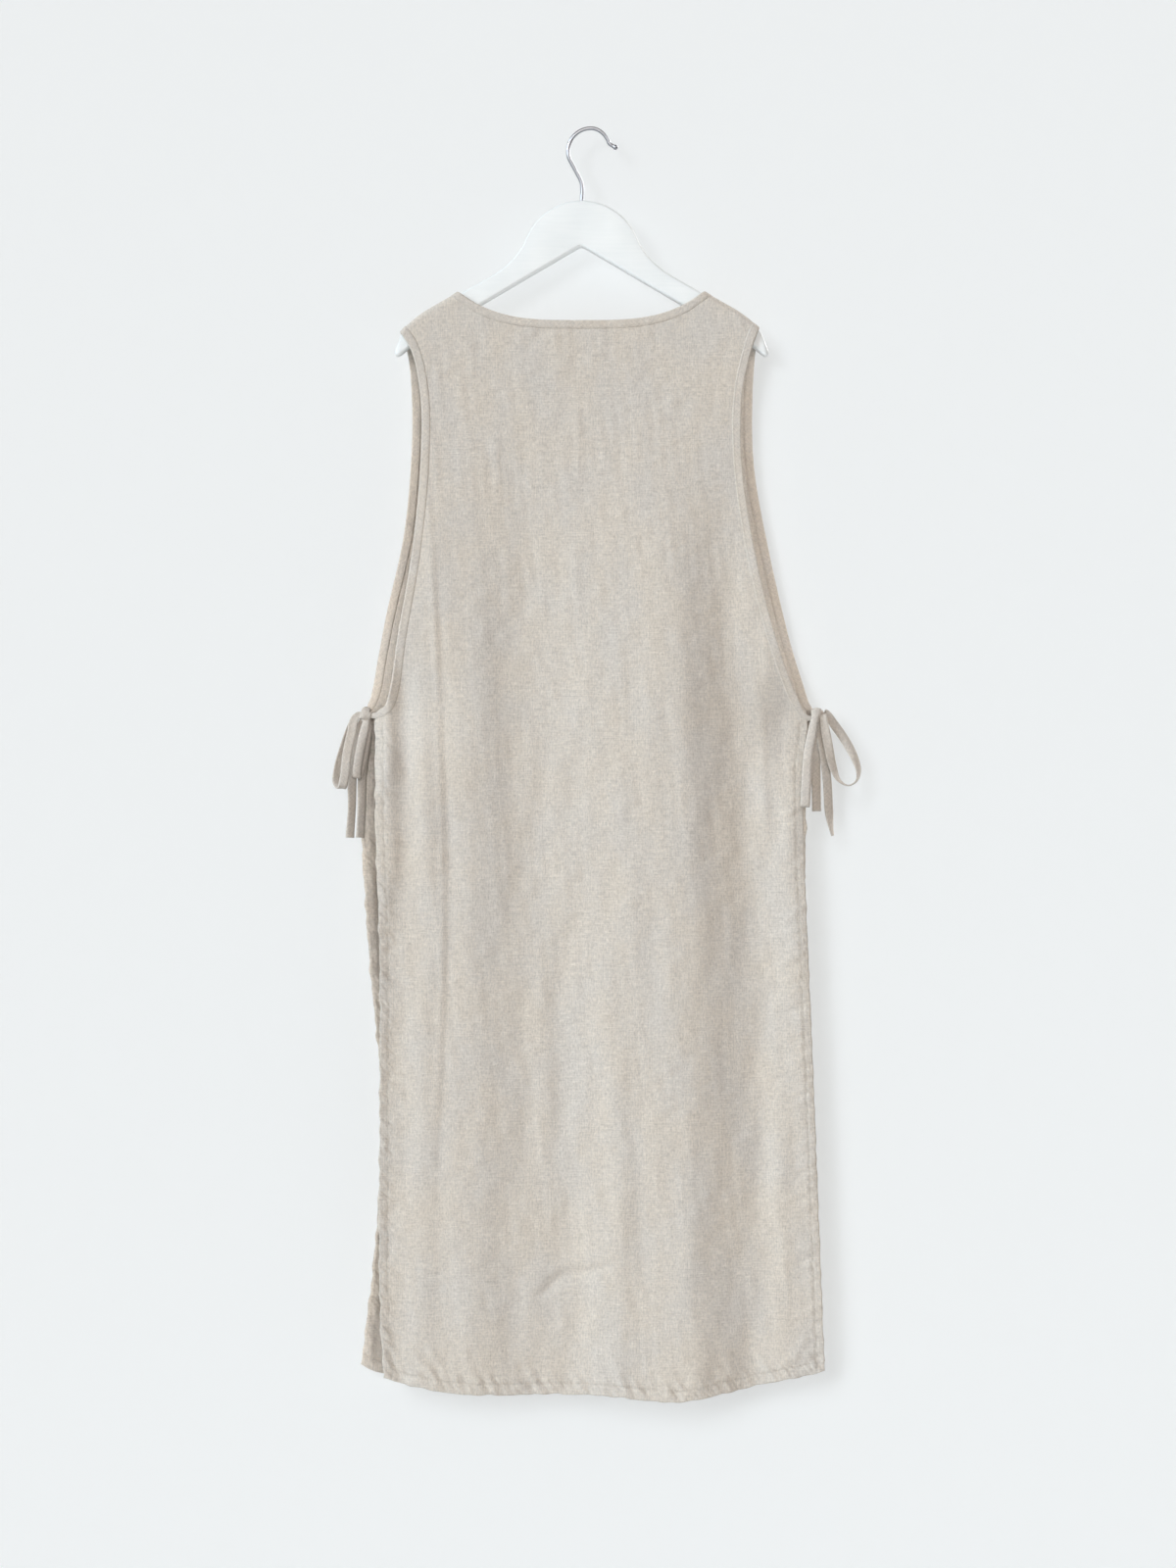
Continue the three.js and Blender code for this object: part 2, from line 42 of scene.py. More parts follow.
print("frame:", len(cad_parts), "CAD nodes")


# Curves, grids and meshes

def smoothStep(value, low, high):
    # 0 below low, 1 above high, an eased ramp between
    t = np.clip((value - low) / (high - low), 0, 1)
    return t * t * (3 - 2 * t)


def bell(value, spread):
    # 1 at zero, fading to both sides over the spread
    return np.exp(-((value / spread) ** 2))


def blendTo(first, second, share):
    # the first at a share of 0, the second at 1, straight between
    return first + (second - first) * share


def seededWaves(seed, along, waves):
    # sum of sines of given lengths and heights, with seeded phases
    random = np.random.default_rng(seed)
    total = np.zeros_like(along)
    for length, height in waves:
        total += height * np.sin(2 * np.pi * along / length + random.uniform(0, phaseSpan))
    return total


def stacked(*axes):
    # arrays of coordinates, spread to one shape and joined into points
    return np.stack(np.broadcast_arrays(*axes), axis=-1)


def alongOf(line):
    # distance walked from the start of a line to each of its points
    return np.concatenate([[0], np.cumsum(np.linalg.norm(np.diff(line, axis=0), axis=1))])


def walkTo(line, stops):
    # points of a line at given distances from its start
    along = alongOf(line)
    return stacked(*(np.interp(stops, along, column) for column in line.T))


def throughPoints(points, count):
    # smooth curve through points, walked in even steps: cubic spans whose knots are spaced by the root of
    # each chord, 33 points to a span; also gives how far along the list of points each step lies
    points = np.asarray(points, float)
    ends = np.vstack([2 * points[0] - points[1], points, 2 * points[-1] - points[-2]])
    chords = np.linalg.norm(np.diff(ends, axis=0), axis=1)
    knots = np.concatenate([[0], np.cumsum(np.sqrt(chords))])
    spans = len(points) - 1
    k0, k1, k2, k3 = [knots[start:start + spans, None, None] for start in range(4)]
    p0, p1, p2, p3 = [ends[start:start + spans, None, :] for start in range(4)]
    share = np.linspace(0, 1, 33)[None, :, None]
    t = k1 + (k2 - k1) * share

    def between(first, second, low, high):
        # from the first point to the second as t goes from low to high
        return first + (second - first) * (t - low) / (high - low)

    middle = between(p1, p2, k1, k2)
    before = between(between(p0, p1, k0, k1), middle, k0, k2)
    after = between(middle, between(p2, p3, k2, k3), k1, k3)
    dense = blendTo(before, after, share).reshape(-1, points.shape[1])
    place = (np.arange(spans)[:, None] + share[0, :, 0]).ravel()
    walked = alongOf(dense)
    steps = np.linspace(0, walked[-1], count)
    return walkTo(dense, steps), np.interp(steps, walked, place)


def unit(vectors):
    # vectors made 1 long
    return vectors / np.maximum(np.linalg.norm(vectors, axis=-1, keepdims=True), 1e-12)


def gridNormals(grid):
    # the grid's run along its rows crossed with its run down its columns
    return unit(np.cross(np.gradient(grid, axis=1), np.gradient(grid, axis=0)))


def quadsBetween(corner, following):
    # faces from each row of corners to the next, each corner joined to the one that follows it
    return stacked(corner[:-1], following[:-1], following[1:], corner[1:]).reshape(-1, 4)


def gridQuads(rows, columns):
    # faces of a grid of points
    corner = np.arange(rows * columns).reshape(rows, columns)
    return quadsBetween(corner[:, :-1], corner[:, 1:])


def ringCorners(steps, around):
    # corners of rings of points, and those that follow them round each ring
    corner = np.arange(steps * around).reshape(steps, around)
    return corner, np.roll(corner, -1, axis=1)


def putPiece(name, data):
    # object at the origin for a mesh, lamp or camera
    piece = bpy.data.objects.new(name, data)
    bpy.context.scene.collection.objects.link(piece)
    return piece


def putMesh(name, points, faces, uv=None, masks=None):
    # mesh in metres from points in millimetres, smooth shaded, with its cloth map and masks such as the
    # stitch lines
    mesh = bpy.data.meshes.new(name)
    mesh.from_pydata((points * mm).tolist(), [], faces)
    mesh.polygons.foreach_set("use_smooth", np.ones(len(mesh.polygons), bool))
    if uv is not None:
        corners = np.zeros(len(mesh.loops), np.int32)
        mesh.loops.foreach_get("vertex_index", corners)
        layer = mesh.uv_layers.new(name="cloth")
        layer.data.foreach_set("uv", (uv[corners] * mm).astype(np.float32).ravel())
    for label, mask in (masks or {}).items():
        mesh.attributes.new(label, "FLOAT", "POINT").data.foreach_set("value", mask.astype(np.float32))
    mesh.update()
    return putPiece(name, mesh)


def closedSheet(name, grid, outside, inside, uv, skip=1, masks=None):
    # cloth wall about a grid: the grid pushed out and in along its normals and joined round the rim; the
    # inner face may keep only every second row and column
    shape = rows, columns = grid.shape[:2]
    normals = gridNormals(grid)
    outer = grid + normals * np.broadcast_to(outside, shape)[..., None]
    inner = (grid - normals * np.broadcast_to(inside, shape)[..., None])[::skip, ::skip]
    size = rows * columns
    corner = np.arange(size).reshape(shape)
    rim = np.concatenate([corner[0, :-1], corner[:-1, -1], corner[-1, :0:-1], corner[:0:-1, 0]])
    under = size + (rim // columns // skip) * inner.shape[1] + rim % columns // skip
    spans = [np.roll(rim, -step) for step in range(skip, -1, -1)] + [under, np.roll(under, -skip)]
    faces = gridQuads(rows, columns).tolist()
    faces += (gridQuads(*inner.shape[:2])[:, ::-1] + size).tolist()
    faces += stacked(*spans)[::skip].tolist()

    def joined(values, under):
        # values of the outer face, then of the inner one
        return np.concatenate([values.reshape(-1, *values.shape[2:]), under.reshape(-1, *under.shape[2:])])

    whole = {label: np.broadcast_to(mask, shape) for label, mask in (masks or {}).items()}
    shown = {label: joined(mask, mask[::skip, ::skip]) for label, mask in whole.items()}
    return putMesh(name, joined(outer, inner), faces, joined(uv, uv[::skip, ::skip]), shown)


def closedTube(name, rings, uv=None):
    # body through rings of points, each end closed by a fan to the ring's middle
    steps, around = rings.shape[:2]
    corner, following = ringCorners(steps, around)
    faces = quadsBetween(corner, following).tolist()
    faces += stacked(following[0], corner[0], steps * around).tolist()
    faces += stacked(corner[-1], following[-1], steps * around + 1).tolist()

    def capped(values):
        # values of the rings, then the means of the first and the last ring
        return np.concatenate([values.reshape(-1, values.shape[2]), values[[0, -1]].mean(axis=1)])

    return putMesh(name, capped(rings), faces, None if uv is None else capped(uv))


# Nodes

bumpDepth = 0.0003  # in metres, as the shader takes it


def feed(tree, node, values):
    # each input takes a link from another node's output, or a plain value
    for label, value in values.items():
        if isinstance(value, bpy.types.NodeSocket):
            tree.links.new(value, node.inputs[label])
        else:
            node.inputs[label].default_value = value


def addNode(tree, kind, values=None, **settings):
    # node of a kind with its settings and what its inputs take; gives its outputs
    node = tree.nodes.new(f"ShaderNode{kind}")
    for label, value in settings.items():
        setattr(node, label, value)
    feed(tree, node, values or {})
    return node.outputs


def mathNode(tree, operation, first, second=0.0):
    # result of one operation on two values
    return addNode(tree, "Math", {0: first, 1: second}, operation=operation)[0]


def times(tree, first, second):
    # product of two values
    return mathNode(tree, "MULTIPLY", first, second)


def weighted(tree, *terms):
    # sum of values, each times its weight
    parts = [value if weight == 1 else times(tree, value, weight) for value, weight in terms]
    total = parts[0]
    for part in parts[1:]:
        total = mathNode(tree, "ADD", total, part)
    return total


def mapRange(tree, value, low, high, newLow, newHigh):
    # eased ramp from one range of values to another
    values = {"Value": value, "From Min": low, "From Max": high, "To Min": newLow, "To Max": newHigh}
    return addNode(tree, "MapRange", values, interpolation_type="SMOOTHSTEP")["Result"]


def noiseOver(tree, x, y, rateX, rateY, detail):
    # smooth noise over two coordinates, each stretched by its own rate
    place = addNode(tree, "CombineXYZ", {0: times(tree, x, rateX), 1: times(tree, y, rateY)})[0]
    values = {"Vector": place, "Scale": 1.0, "Detail": detail}
    return addNode(tree, "TexNoise", values, noise_dimensions="2D")[0]


def rampColour(tree, share, low, high):
    # colour that goes from low to high with a share of 0 to 1
    node = tree.nodes.new("ShaderNodeValToRGB")
    for element, colour in zip(node.color_ramp.elements, (low, high)):
        element.color = (*colour, 1)
    feed(tree, node, {0: share})
    return node.outputs[0]


def bumpOf(tree, height, strength):
    # surface tilted by the slope of a height
    return addNode(tree, "Bump", {"Strength": strength, "Distance": bumpDepth, "Height": height})[0]


def newGroup(name, numbers, results):
    # group that takes a place and numbers and gives numbers; the place comes back split in two
    tree = bpy.data.node_groups.new(name, "ShaderNodeTree")
    tree.interface.new_socket("Place", in_out="INPUT", socket_type="NodeSocketVector")
    for label, value in numbers.items():
        socket = tree.interface.new_socket(label, in_out="INPUT", socket_type="NodeSocketFloat")
        socket.default_value = value
    for label in results:
        tree.interface.new_socket(label, in_out="OUTPUT", socket_type="NodeSocketFloat")
    given = tree.nodes.new("NodeGroupInput").outputs
    u, v, _ = addNode(tree, "SeparateXYZ", {0: given["Place"]})
    return tree, given, u, v


def blankMaterial(name):
    # new material, its tree and its shader
    material = bpy.data.materials.new(name)
    material.use_nodes = True
    return material, material.node_tree, material.node_tree.nodes["Principled BSDF"]


# Camera, light and backdrop

view = {
    "pixels": (1200, 1600),
    "originPixel": (603, 130),  # where the frame's origin shows
    "plane": -12,  # Y of the plane in which one pixel is 1 mm
    "distance": 2800,
    "sensor": 36.0,
}


def makeCamera():
    # level camera looking along +Y; its lens makes one pixel 1 mm wide in the apron's plane
    wide, high = view["pixels"]
    originX, originZ = view["originPixel"]
    data = bpy.data.cameras.new("camera")
    data.sensor_width = view["sensor"]
    data.lens = view["sensor"] * view["distance"] / high
    camera = putPiece("camera", data)
    place = [wide / 2 - originX, view["plane"] - view["distance"], originZ - high / 2]
    camera.location = np.array(place) * mm
    camera.rotation_euler = (math.radians(90), 0, 0)
    bpy.context.scene.camera = camera


studio = {
    "sky": (1.0, 0.90, 0.835, 1),
    "skyStrength": 0.30,
    "lamps": {  # where each shines, its spread in degrees, strength and colour
        "key": ((0.80, 0.50, -0.40), 26, 2.52, (0.815, 0.925, 1.0)),
        "front": ((-0.03, 1.0, -0.20), 24, 0.88, (1.0, 0.905, 0.845)),
        "behind": ((-0.82, -0.62, -0.45), 28, 2.5, (1.0, 1.0, 1.0)),
        "backdrop": ((0.42, 1.0, -0.55), 20, 0.86, (1.0, 1.0, 1.0)),
        "shade": ((0.60, 1.0, -0.25), 18, 0.66, (1.0, 1.0, 1.0)),
        "inside": ((-0.62, 1.0, -0.1), 20, 0.8, (0.97, 0.93, 0.88)),
        "edge": ((0.80, 0.50, -0.40), 26, 2.3, (0.91, 0.935, 0.93)),
        "lift": ((0.0, 0.12, 1.0), 30, 0.9, (1.0, 1.0, 1.0)),
    },
    "wallY": 31,
    "floorZ": -1960,
    "reach": 6.0,  # in metres, as the dome's radius
    "wallColour": (0.432, 0.473, 0.50, 1),
    "wallGlow": (0.503, 0.502, 0.494, 1),
    "floorColour": (0.61, 0.62, 0.62, 1),
    "domeRadius": 30.0,
    "domeSteps": (17, 49),
    "domeColour": (0, 0, 0, 1),
    "domeGlow": (0.74, 0.75, 0.752, 1),
    "roughness": 0.95,
    "gloss": 0.1,
}


def stageSheet(name, points, faces, colour, glow=None):
    # plain stage surface, faces seen from their front; one with a glow lets the view through from behind,
    # and is seen but lights and shades nothing, so that the apron stays open to the sky
    mesh = bpy.data.meshes.new(name)
    mesh.from_pydata(points, [], faces)
    sheet = putPiece(name, mesh)
    material, tree, shader = blankMaterial(name)
    feed(tree, shader, {"Base Color": colour, "Roughness": studio["roughness"],
                        "Specular IOR Level": studio["gloss"]})
    if glow:
        feed(tree, shader, {"Emission Color": glow, "Emission Strength": 1.0})
        facing = addNode(tree, "NewGeometry")["Backfacing"]
        clear = addNode(tree, "BsdfTransparent")[0]
        mix = addNode(tree, "MixShader", {0: facing, 1: shader.outputs[0], 2: clear})[0]
        feed(tree, tree.nodes["Material Output"], {"Surface": mix})
        for ray in ("diffuse", "glossy", "transmission", "shadow"):
            setattr(sheet, f"visible_{ray}", False)
    mesh.materials.append(material)
    return sheet


def makeDome():
    # pale ball round the studio, faces inwards: circles of longitude at even steps of latitude
    levels, turns = studio["domeSteps"]
    latitude = np.linspace(-np.pi / 2, np.pi / 2, levels)[:, None]
    longitude = np.linspace(0, 2 * np.pi, turns)
    ring = np.cos(latitude)
    points = stacked(ring * np.cos(longitude), ring * np.sin(longitude), np.sin(latitude))
    points = points.reshape(-1, 3) * studio["domeRadius"]
    faces = gridQuads(levels, turns)[:, ::-1].tolist()
    stageSheet("dome", points.tolist(), faces, studio["domeColour"], studio["domeGlow"])


lamps = {}


def lampFor(name, role, members, state):
    # a lamp whose receivers, or whose blockers, are only the given objects or all but them
    listed = bpy.data.collections.new(f"{name}_{role}")
    for member in members:
        listed.objects.link(member)
    for entry in listed.collection_objects:
        entry.light_linking.link_state = state
    setattr(lamps[name].light_linking, f"{role}_collection", listed)


def makeStudio():
    # sky, lamps, wall, dome and floor; the wall has lamps of its own, so that its shadows stay narrow
    scene = bpy.context.scene
    scene.view_settings.view_transform = "Standard"
    scene.world = bpy.data.worlds.new("studio")
    scene.world.use_nodes = True
    sky = scene.world.node_tree
    feed(sky, sky.nodes["Background"], {"Color": studio["sky"], "Strength": studio["skyStrength"]})
    for name, (towards, spread, strength, colour) in studio["lamps"].items():
        data = bpy.data.lights.new(name, "SUN")
        data.energy = strength
        data.angle = math.radians(spread)
        data.color = colour
        lamps[name] = putPiece(name, data)
        x, y, z = towards
        lamps[name].rotation_euler = (math.atan2(math.hypot(x, y), -z), 0, math.atan2(-x, y))
    reach, wallY, floorZ = studio["reach"], studio["wallY"] * mm, studio["floorZ"] * mm
    quad = [(0, 1, 2, 3)]
    upright = [(-reach, wallY, floorZ), (reach, wallY, floorZ),
               (reach, wallY, reach / 2), (-reach, wallY, reach / 2)]
    level = [(-reach, -reach, floorZ), (reach, -reach, floorZ),
             (reach, reach, floorZ), (-reach, reach, floorZ)]
    wall = stageSheet("wall", upright, quad, studio["wallColour"], studio["wallGlow"])
    makeDome()
    lampFor("front", "receiver", [wall], "EXCLUDE")
    for name in ("backdrop", "shade"):
        lampFor(name, "receiver", [wall], "INCLUDE")
    stageSheet("floor", level, quad, studio["floorColour"])
    return wall


makeCamera()
wallSheet = makeStudio()
print("camera and studio")


# Hanger

hanger = {
    "centre": -9.5,
    "halfThick": 7.5,
    "edgeRound": 3.2,
    "domeTop": -73,
    "domeRadius": 61,
    "domeSweep": 68,
    "armApex": -97.5,
    "armSlope": 0.57,
    "armBend": 155,
    "armDroop": 0.0078,
    "armEnd": 182,
    "filletCorner": 66.3,
    "filletEnd": 94,
    "underApex": -119,
    "underSlope": 0.589,
    "underEnd": 176,
    "underRound": 2.0,
    "tipTop": [(184, -209), (188, -219), (190.6, -225.5), (191.4, -229)],
    "tipUnder": [(176, -222.7), (182, -228.2), (186, -231), (189.5, -231.8), (191.4, -229)],
    "tipThin": 3.2,  # how much thinner each face gets over the last millimetres of a tip
    "tipThinOver": 6,
    "sections": 321,
    "evenness": 0.55,  # of the sections' spacing, which is closer towards the tips
    "least": 0.01,
}


def armTop(x):
    # height of the hanger's upper edge: a straight slope that droops past the bend
    half = np.abs(x - hanger["centre"])
    past = np.maximum(0, half - hanger["armBend"])
    return hanger["armApex"] - hanger["armSlope"] * half - hanger["armDroop"] * past ** 2


def hangerEdges(half):
    # upper and lower edge over the distance from the middle: dome arc, fillet, arm and rounded tip above;
    # straight slope with a softened apex and the same tip below
    def onArm(out):
        # point of the arm's upper edge at a distance from the middle
        return stacked(out, armTop(hanger["centre"] + out))

    sweep = np.radians(np.linspace(0, hanger["domeSweep"], 60))
    dome = stacked(hanger["domeRadius"] * np.sin(sweep),
                   hanger["domeTop"] - hanger["domeRadius"] * (1 - np.cos(sweep)))
    corner, end = onArm(hanger["filletCorner"]), onArm(hanger["filletEnd"])
    share = np.linspace(0, 1, 30)[1:, None]
    fillet = dome[-1] * (1 - share) ** 2 + 2 * corner * share * (1 - share) + end * share ** 2
    arm = onArm(np.linspace(hanger["filletEnd"], hanger["armEnd"], 60)[1:])
    upper = np.concatenate([dome, fillet, arm, throughPoints(hanger["tipTop"], 30)[0]])
    underHalf = np.linspace(0, hanger["underEnd"], 120)[:-1]
    soft = np.sqrt(underHalf ** 2 + hanger["underRound"] ** 2)
    under = stacked(underHalf, hanger["underApex"] - hanger["underSlope"] * soft)
    lower = np.concatenate([under, throughPoints(hanger["tipUnder"], 40)[0]])
    return np.interp(half, upper[:, 0], upper[:, 1]), np.interp(half, lower[:, 0], lower[:, 1])


def makeHanger():
    # upright sections from tip to tip, each a rectangle with round corners between the two edges
    tip = hanger["tipTop"][-1][0]
    even = np.linspace(-1, 1, hanger["sections"])
    offset = tip * blendTo(np.sin(even * np.pi / 2), even, hanger["evenness"])
    upper, lower = hangerEdges(np.abs(offset))
    tall = np.maximum((upper - lower) / 2, hanger["least"])[:, None]
    nearTip = np.clip((tip - np.abs(offset)) / hanger["tipThinOver"], 0, 1)
    thick = hanger["halfThick"] - hanger["tipThin"] * (1 - np.sqrt(1 - (1 - nearTip) ** 2))
    corner = np.minimum(hanger["edgeRound"], tall)
    turn = np.radians(np.arange(0, 360, 6) + 3)[None, :]
    x = hanger["centre"] + offset[:, None]
    y = np.sign(np.cos(turn)) * (thick[:, None] - corner) + corner * np.cos(turn)
    z = (upper + lower)[:, None] / 2 + np.sign(np.sin(turn)) * (tall - corner) + corner * np.sin(turn)
    return closedTube("hanger", stacked(x, y, z))


hook = {
    "wire": 1.9,
    "bowl": 23.5,
    "narrowing": 3,
    "bowlTurn": (200, 22),
    "foot": -75,
    "stemTop": -55,
    "neckBend": (-14.5, -44),
    "ball": 2.6,
    "ballCentre": (25, -17.5),
    "ballStart": 0.7,  # share of the ball's radius at which it takes over from the wire
    "least": 0.01,
    "mapTurn": 4,
}


def makeHook():
    # round wire along a flat curve: up the stem, round the bowl and out to a ball; near the end the wire's
    # radius follows the ball's circle
    centre = hook["wire"] - hook["bowl"]
    turn = np.linspace(*hook["bowlTurn"], 19)
    radius = hook["bowl"] - hook["narrowing"] * smoothStep(90 - turn, 0, 90 - hook["bowlTurn"][1])
    turn = np.radians(turn)
    bowl = stacked(radius * np.cos(turn), centre + radius * np.sin(turn))
    stem = [(hanger["centre"], hook["foot"]), (hanger["centre"], hook["stemTop"])]
    flat = np.concatenate([stem, [hook["neckBend"]], bowl, [hook["ballCentre"]]])
    line = throughPoints(flat, 240)[0]
    run = unit(np.gradient(line, axis=0))
    along = alongOf(line)
    ballStart = -hook["ball"] * hook["ballStart"]
    stops = np.linspace(-hook["ball"], hook["ball"], 17)
    stops = stops[stops > ballStart]
    keep = along - along[-1] < ballStart
    line = np.concatenate([line[keep], line[-1] + run[-1] * stops[:, None]])
    run = np.concatenate([run[keep], np.repeat(run[-1:], len(stops), axis=0)])
    ballRadius = np.sqrt(np.maximum(hook["ball"] ** 2 - stops ** 2, hook["least"]))
    wire = np.concatenate([np.full(keep.sum(), hook["wire"]), ballRadius])[:, None]
    around = np.linspace(0, 2 * np.pi, 24, endpoint=False)[None, :]
    x = line[:, :1] - run[:, 1:] * wire * np.cos(around)
    y = wire * np.sin(around)
    z = line[:, 1:] + run[:, :1] * wire * np.cos(around)
    uv = stacked(around * hook["mapTurn"], alongOf(line)[:, None])
    return closedTube("hook", stacked(x, y, z), uv)


hangerPiece = makeHanger()
hookPiece = makeHook()
print("hanger and hook")


# Apron cloth: where it lies

cloth = {
    "half": 0.55,  # half of the linen's thickness
    "seamLift": 2.2,
    "wrapDepth": 11,
    "wrapPower": 4,
    "standOff": 20,
    "standLevels": (230, 650),
    "foldLevels": (240, 600),
    "foldLines": (430, 800, 1230),  # depths of the three levels at which a fold's line is given
    "pull": (55, 45),
    "sideHem": 9.5,
    "bottomHem": 13,
    "hemExtra": 0.8,
    "tuck": 1.2,  # how far a panel's bound edge stays inside its binding
    "stitchInset": 1.4,  # of a hem's stitches, from the hem's inner edge
    "sideSteps": 900,
}

# each fold: its line at three levels, spread to the left and right, rise outwards; each crease: its width,
# depth and the points it runs through
backCut = {
    "name": "back",
    "facing": -1,
    "tieDepth": 4,
    "gathers": {"left": 1.0, "right": 0.5, "hem": 1.0},
    "neck": {"left": -135.5, "right": 115.5, "bottom": -196.4, "power": 3.4},
    "hem": [(-211, -1274), (-174, -1284), (-127, -1290.5), (20, -1292), (77, -1297), (122, -1292),
            (238, -1268)],
    "folds": [
        ((-188, -226, -224), (20, 24), 2),
        ((-178, -196, -196), (14, 16), -1.5),
        ((-162, -166, -170), (18, 14), 2.5),
        ((-128, -122, -124), (34, 32), 4.5),
        ((-72, -57, -46), (34, 45), -5),
        ((82, 92, 100), (86, 36), 11.5),
        ((140, 168, 178), (30, 26), -6.5),
        ((172, 210, 224), (18, 16), 1.2),
        ((176, 236, 252), (18, 16), -2),
    ],
    "left": {
        "shoulder": -195,
        "tie": (-222, -599),
        "lead": (-226, -595),
        "armhole": [(-183, -229), (-174, -275), (-174, -345), (-182, -430), (-197, -520), (-205, -573),
                    (-211.5, -591), (-219.5, -595.5)],
        "side": [(-219.5, -640), (-219, -720), (-215, -840), (-215, -1190)],
    },
    "right": {
        "shoulder": 172,
        "tie": (223, -602),
        "lead": (227, -598),
        "armhole": [(165, -224), (155, -270), (154, -335), (167, -430), (188, -518), (205, -567),
                    (216, -590), (222, -598)],
        "side": [(216.5, -650), (216.5, -720), (226, -960), (233, -1140)],
    },
    "creases": [
        (4, 1.5, [(-170, -270), (-161, -430), (-156, -540), (-151, -670), (-149, -770), (-151, -920),
                  (-163, -1140)]),
        (16, 2.7, [(-172, -500), (-168, -600), (-165, -700), (-166, -800)]),
        (3, 0.5, [(150, -188), (154, -200), (158, -214)]),
        (6.5, -2.3, [(-63, -1200), (-33, -1170), (12, -1158), (30, -1148)]),
        (4, 0.7, [(177, -570), (178, -660), (181, -740)]),
        (6, 0.6, [(-70, -500), (-40, -570), (-25, -640)]),
        (5, -0.5, [(-55, -540), (-30, -610), (-18, -680)]),
        (4, 0.6, [(-94, -300), (-92, -390)]),
        (3.5, 0.4, [(-12, -225), (-10, -300), (-13, -400)]),
        (3, 1.6, [(-184, -1240), (-168, -1262), (-154, -1272)]),
        (3, -1.3, [(-172, -1240), (-160, -1256), (-148, -1268)]),
        (4, 0.8, [(22, -1246), (34, -1268), (40, -1282)]),
        (4, -0.8, [(86, -1250), (96, -1270), (100, -1284)]),
        (4, 0.9, [(222, -1226), (214, -1246), (204, -1262)]),
        (12, 3.4, [(-205, -460), (-202, -580), (-199, -700), (-203, -860)]),
        (12, 4.2, [(-206, -530), (-203, -600), (-198, -690)]),
        (21, 2.8, [(-44, -700), (-42, -900), (-40, -1080), (-38, -1420)]),
        (21, 2.8, [(38, -740), (37, -900), (36, -1080), (37, -1420)]),
        (18, 4.1, [(196, -940), (199, -1100), (200, -1420)]),
        (12, -1.6, [(-205, -880), (-203, -1000), (-201, -1120), (-203, -1230)]),
        (13, -2.5, [(201, -560), (198, -630), (195, -690), (193, -760)]),
    ],
    "seed": 11,
    "mapShift": 0,  # keeps the two panels' weave apart
}

frontCut = {
    "name": "front",
    "facing": 1,
    "tieDepth": 3.3,
    "gathers": {"left": 1.0, "right": 1.0, "hem": 1.0},
    "neck": {"left": -135.5, "right": 115.5, "bottom": -236, "power": 3},
    "hem": [(-236.5, -1267.5), (-213, -1277), (-190, -1281), (-120, -1284), (0, -1286), (120, -1281),
            (231, -1264)],
    "folds": [
        ((-190, -236, -232), (22, 20), -7),
        ((-130, -140, -150), (30, 45), 6),
        ((-60, -55, -62), (30, 26), -5),
        ((0, 5, 10), (38, 40), 6),
        ((70, 82, 95), (28, 30), -5),
        ((135, 158, 170), (35, 25), 6),
        ((175, 224, 232), (20, 20), -8),
    ],
    "left": {
        "shoulder": -195,
        "tie": (-229, -597),
        "lead": (-236, -593),
        "armhole": [(-188.5, -228), (-184, -280), (-185.5, -346), (-193, -417), (-211, -498),
                    (-219.5, -544), (-225, -576), (-230.5, -590)],
        "side": [(-236, -640), (-236, -720), (-229, -842), (-216, -1000), (-222, -1140)],
    },
    "right": {
        "shoulder": 172,
        "tie": (229, -600),
        "lead": (236, -597),
        "armhole": [(169, -228), (166, -280), (168, -346), (183, -430), (203.5, -518), (217, -564),
                    (224, -586), (229, -594)],
        "side": [(222, -645), (221, -730), (219, -840), (224, -1060)],
    },
    "creases": [
        (4, 1.0, [(-150, -460), (-160, -700), (-170, -980)]),
        (5, 0.8, [(40, -520), (34, -700), (44, -880)]),
        (5, -0.9, [(120, -900), (128, -1040), (122, -1180)]),
        (5, 1.0, [(-60, -1190), (-30, -1176), (10, -1180)]),
        (6, 0.9, [(-215, -560), (-200, -620), (-196, -700)]),
        (6, 0.9, [(212, -590), (200, -640), (192, -700)]),
    ],
    "seed": 23,
    "mapShift": 700,
}

cuts = (backCut, frontCut)
edges = ("left", "right", "neck")  # the bound edges of a panel


def seamHeight(x):
    # the shoulder seam lies a little above the hanger's upper edge
    return armTop(x) + cloth["seamLift"]


def wrapCurve():
    # squared-off quarter round over the hanger's arm, from the seam down to the panel's face, in even steps
    turn = np.linspace(0, np.pi / 2, 4000)
    power = 2 / cloth["wrapPower"]
    out = cloth["wrapDepth"] * np.sin(turn) ** power
    drop = cloth["wrapDepth"] * (1 - np.cos(turn) ** power)
    walked = alongOf(stacked(out, drop))
    return np.interp(np.linspace(0, walked[-1], 20), walked, drop)


wrapDrops = wrapCurve()


def wrapOut(drop):
    # distance out from the seam for a drop below it: the same quarter round
    rest = 1 - np.clip(drop, 0, cloth["wrapDepth"]) / cloth["wrapDepth"]
    return cloth["wrapDepth"] * (1 - rest ** cloth["wrapPower"]) ** (1 / cloth["wrapPower"])


def foldRise(cut, x, z):
    # sum of bells, one for each fold, each with its own spread to the left and right of its slanting line
    total = np.zeros_like(x)
    for line, spread, rise in cut["folds"]:
        away = x - np.interp(-z, cloth["foldLines"], line)
        total += rise * bell(away, np.where(away < 0, *spread))
    return total * smoothStep(-z, *cloth["foldLevels"])


creaseForm = {"steps": 24, "fade": 0.3, "step": 1.2, "stepPower": 1.5, "ridge": 0.5}


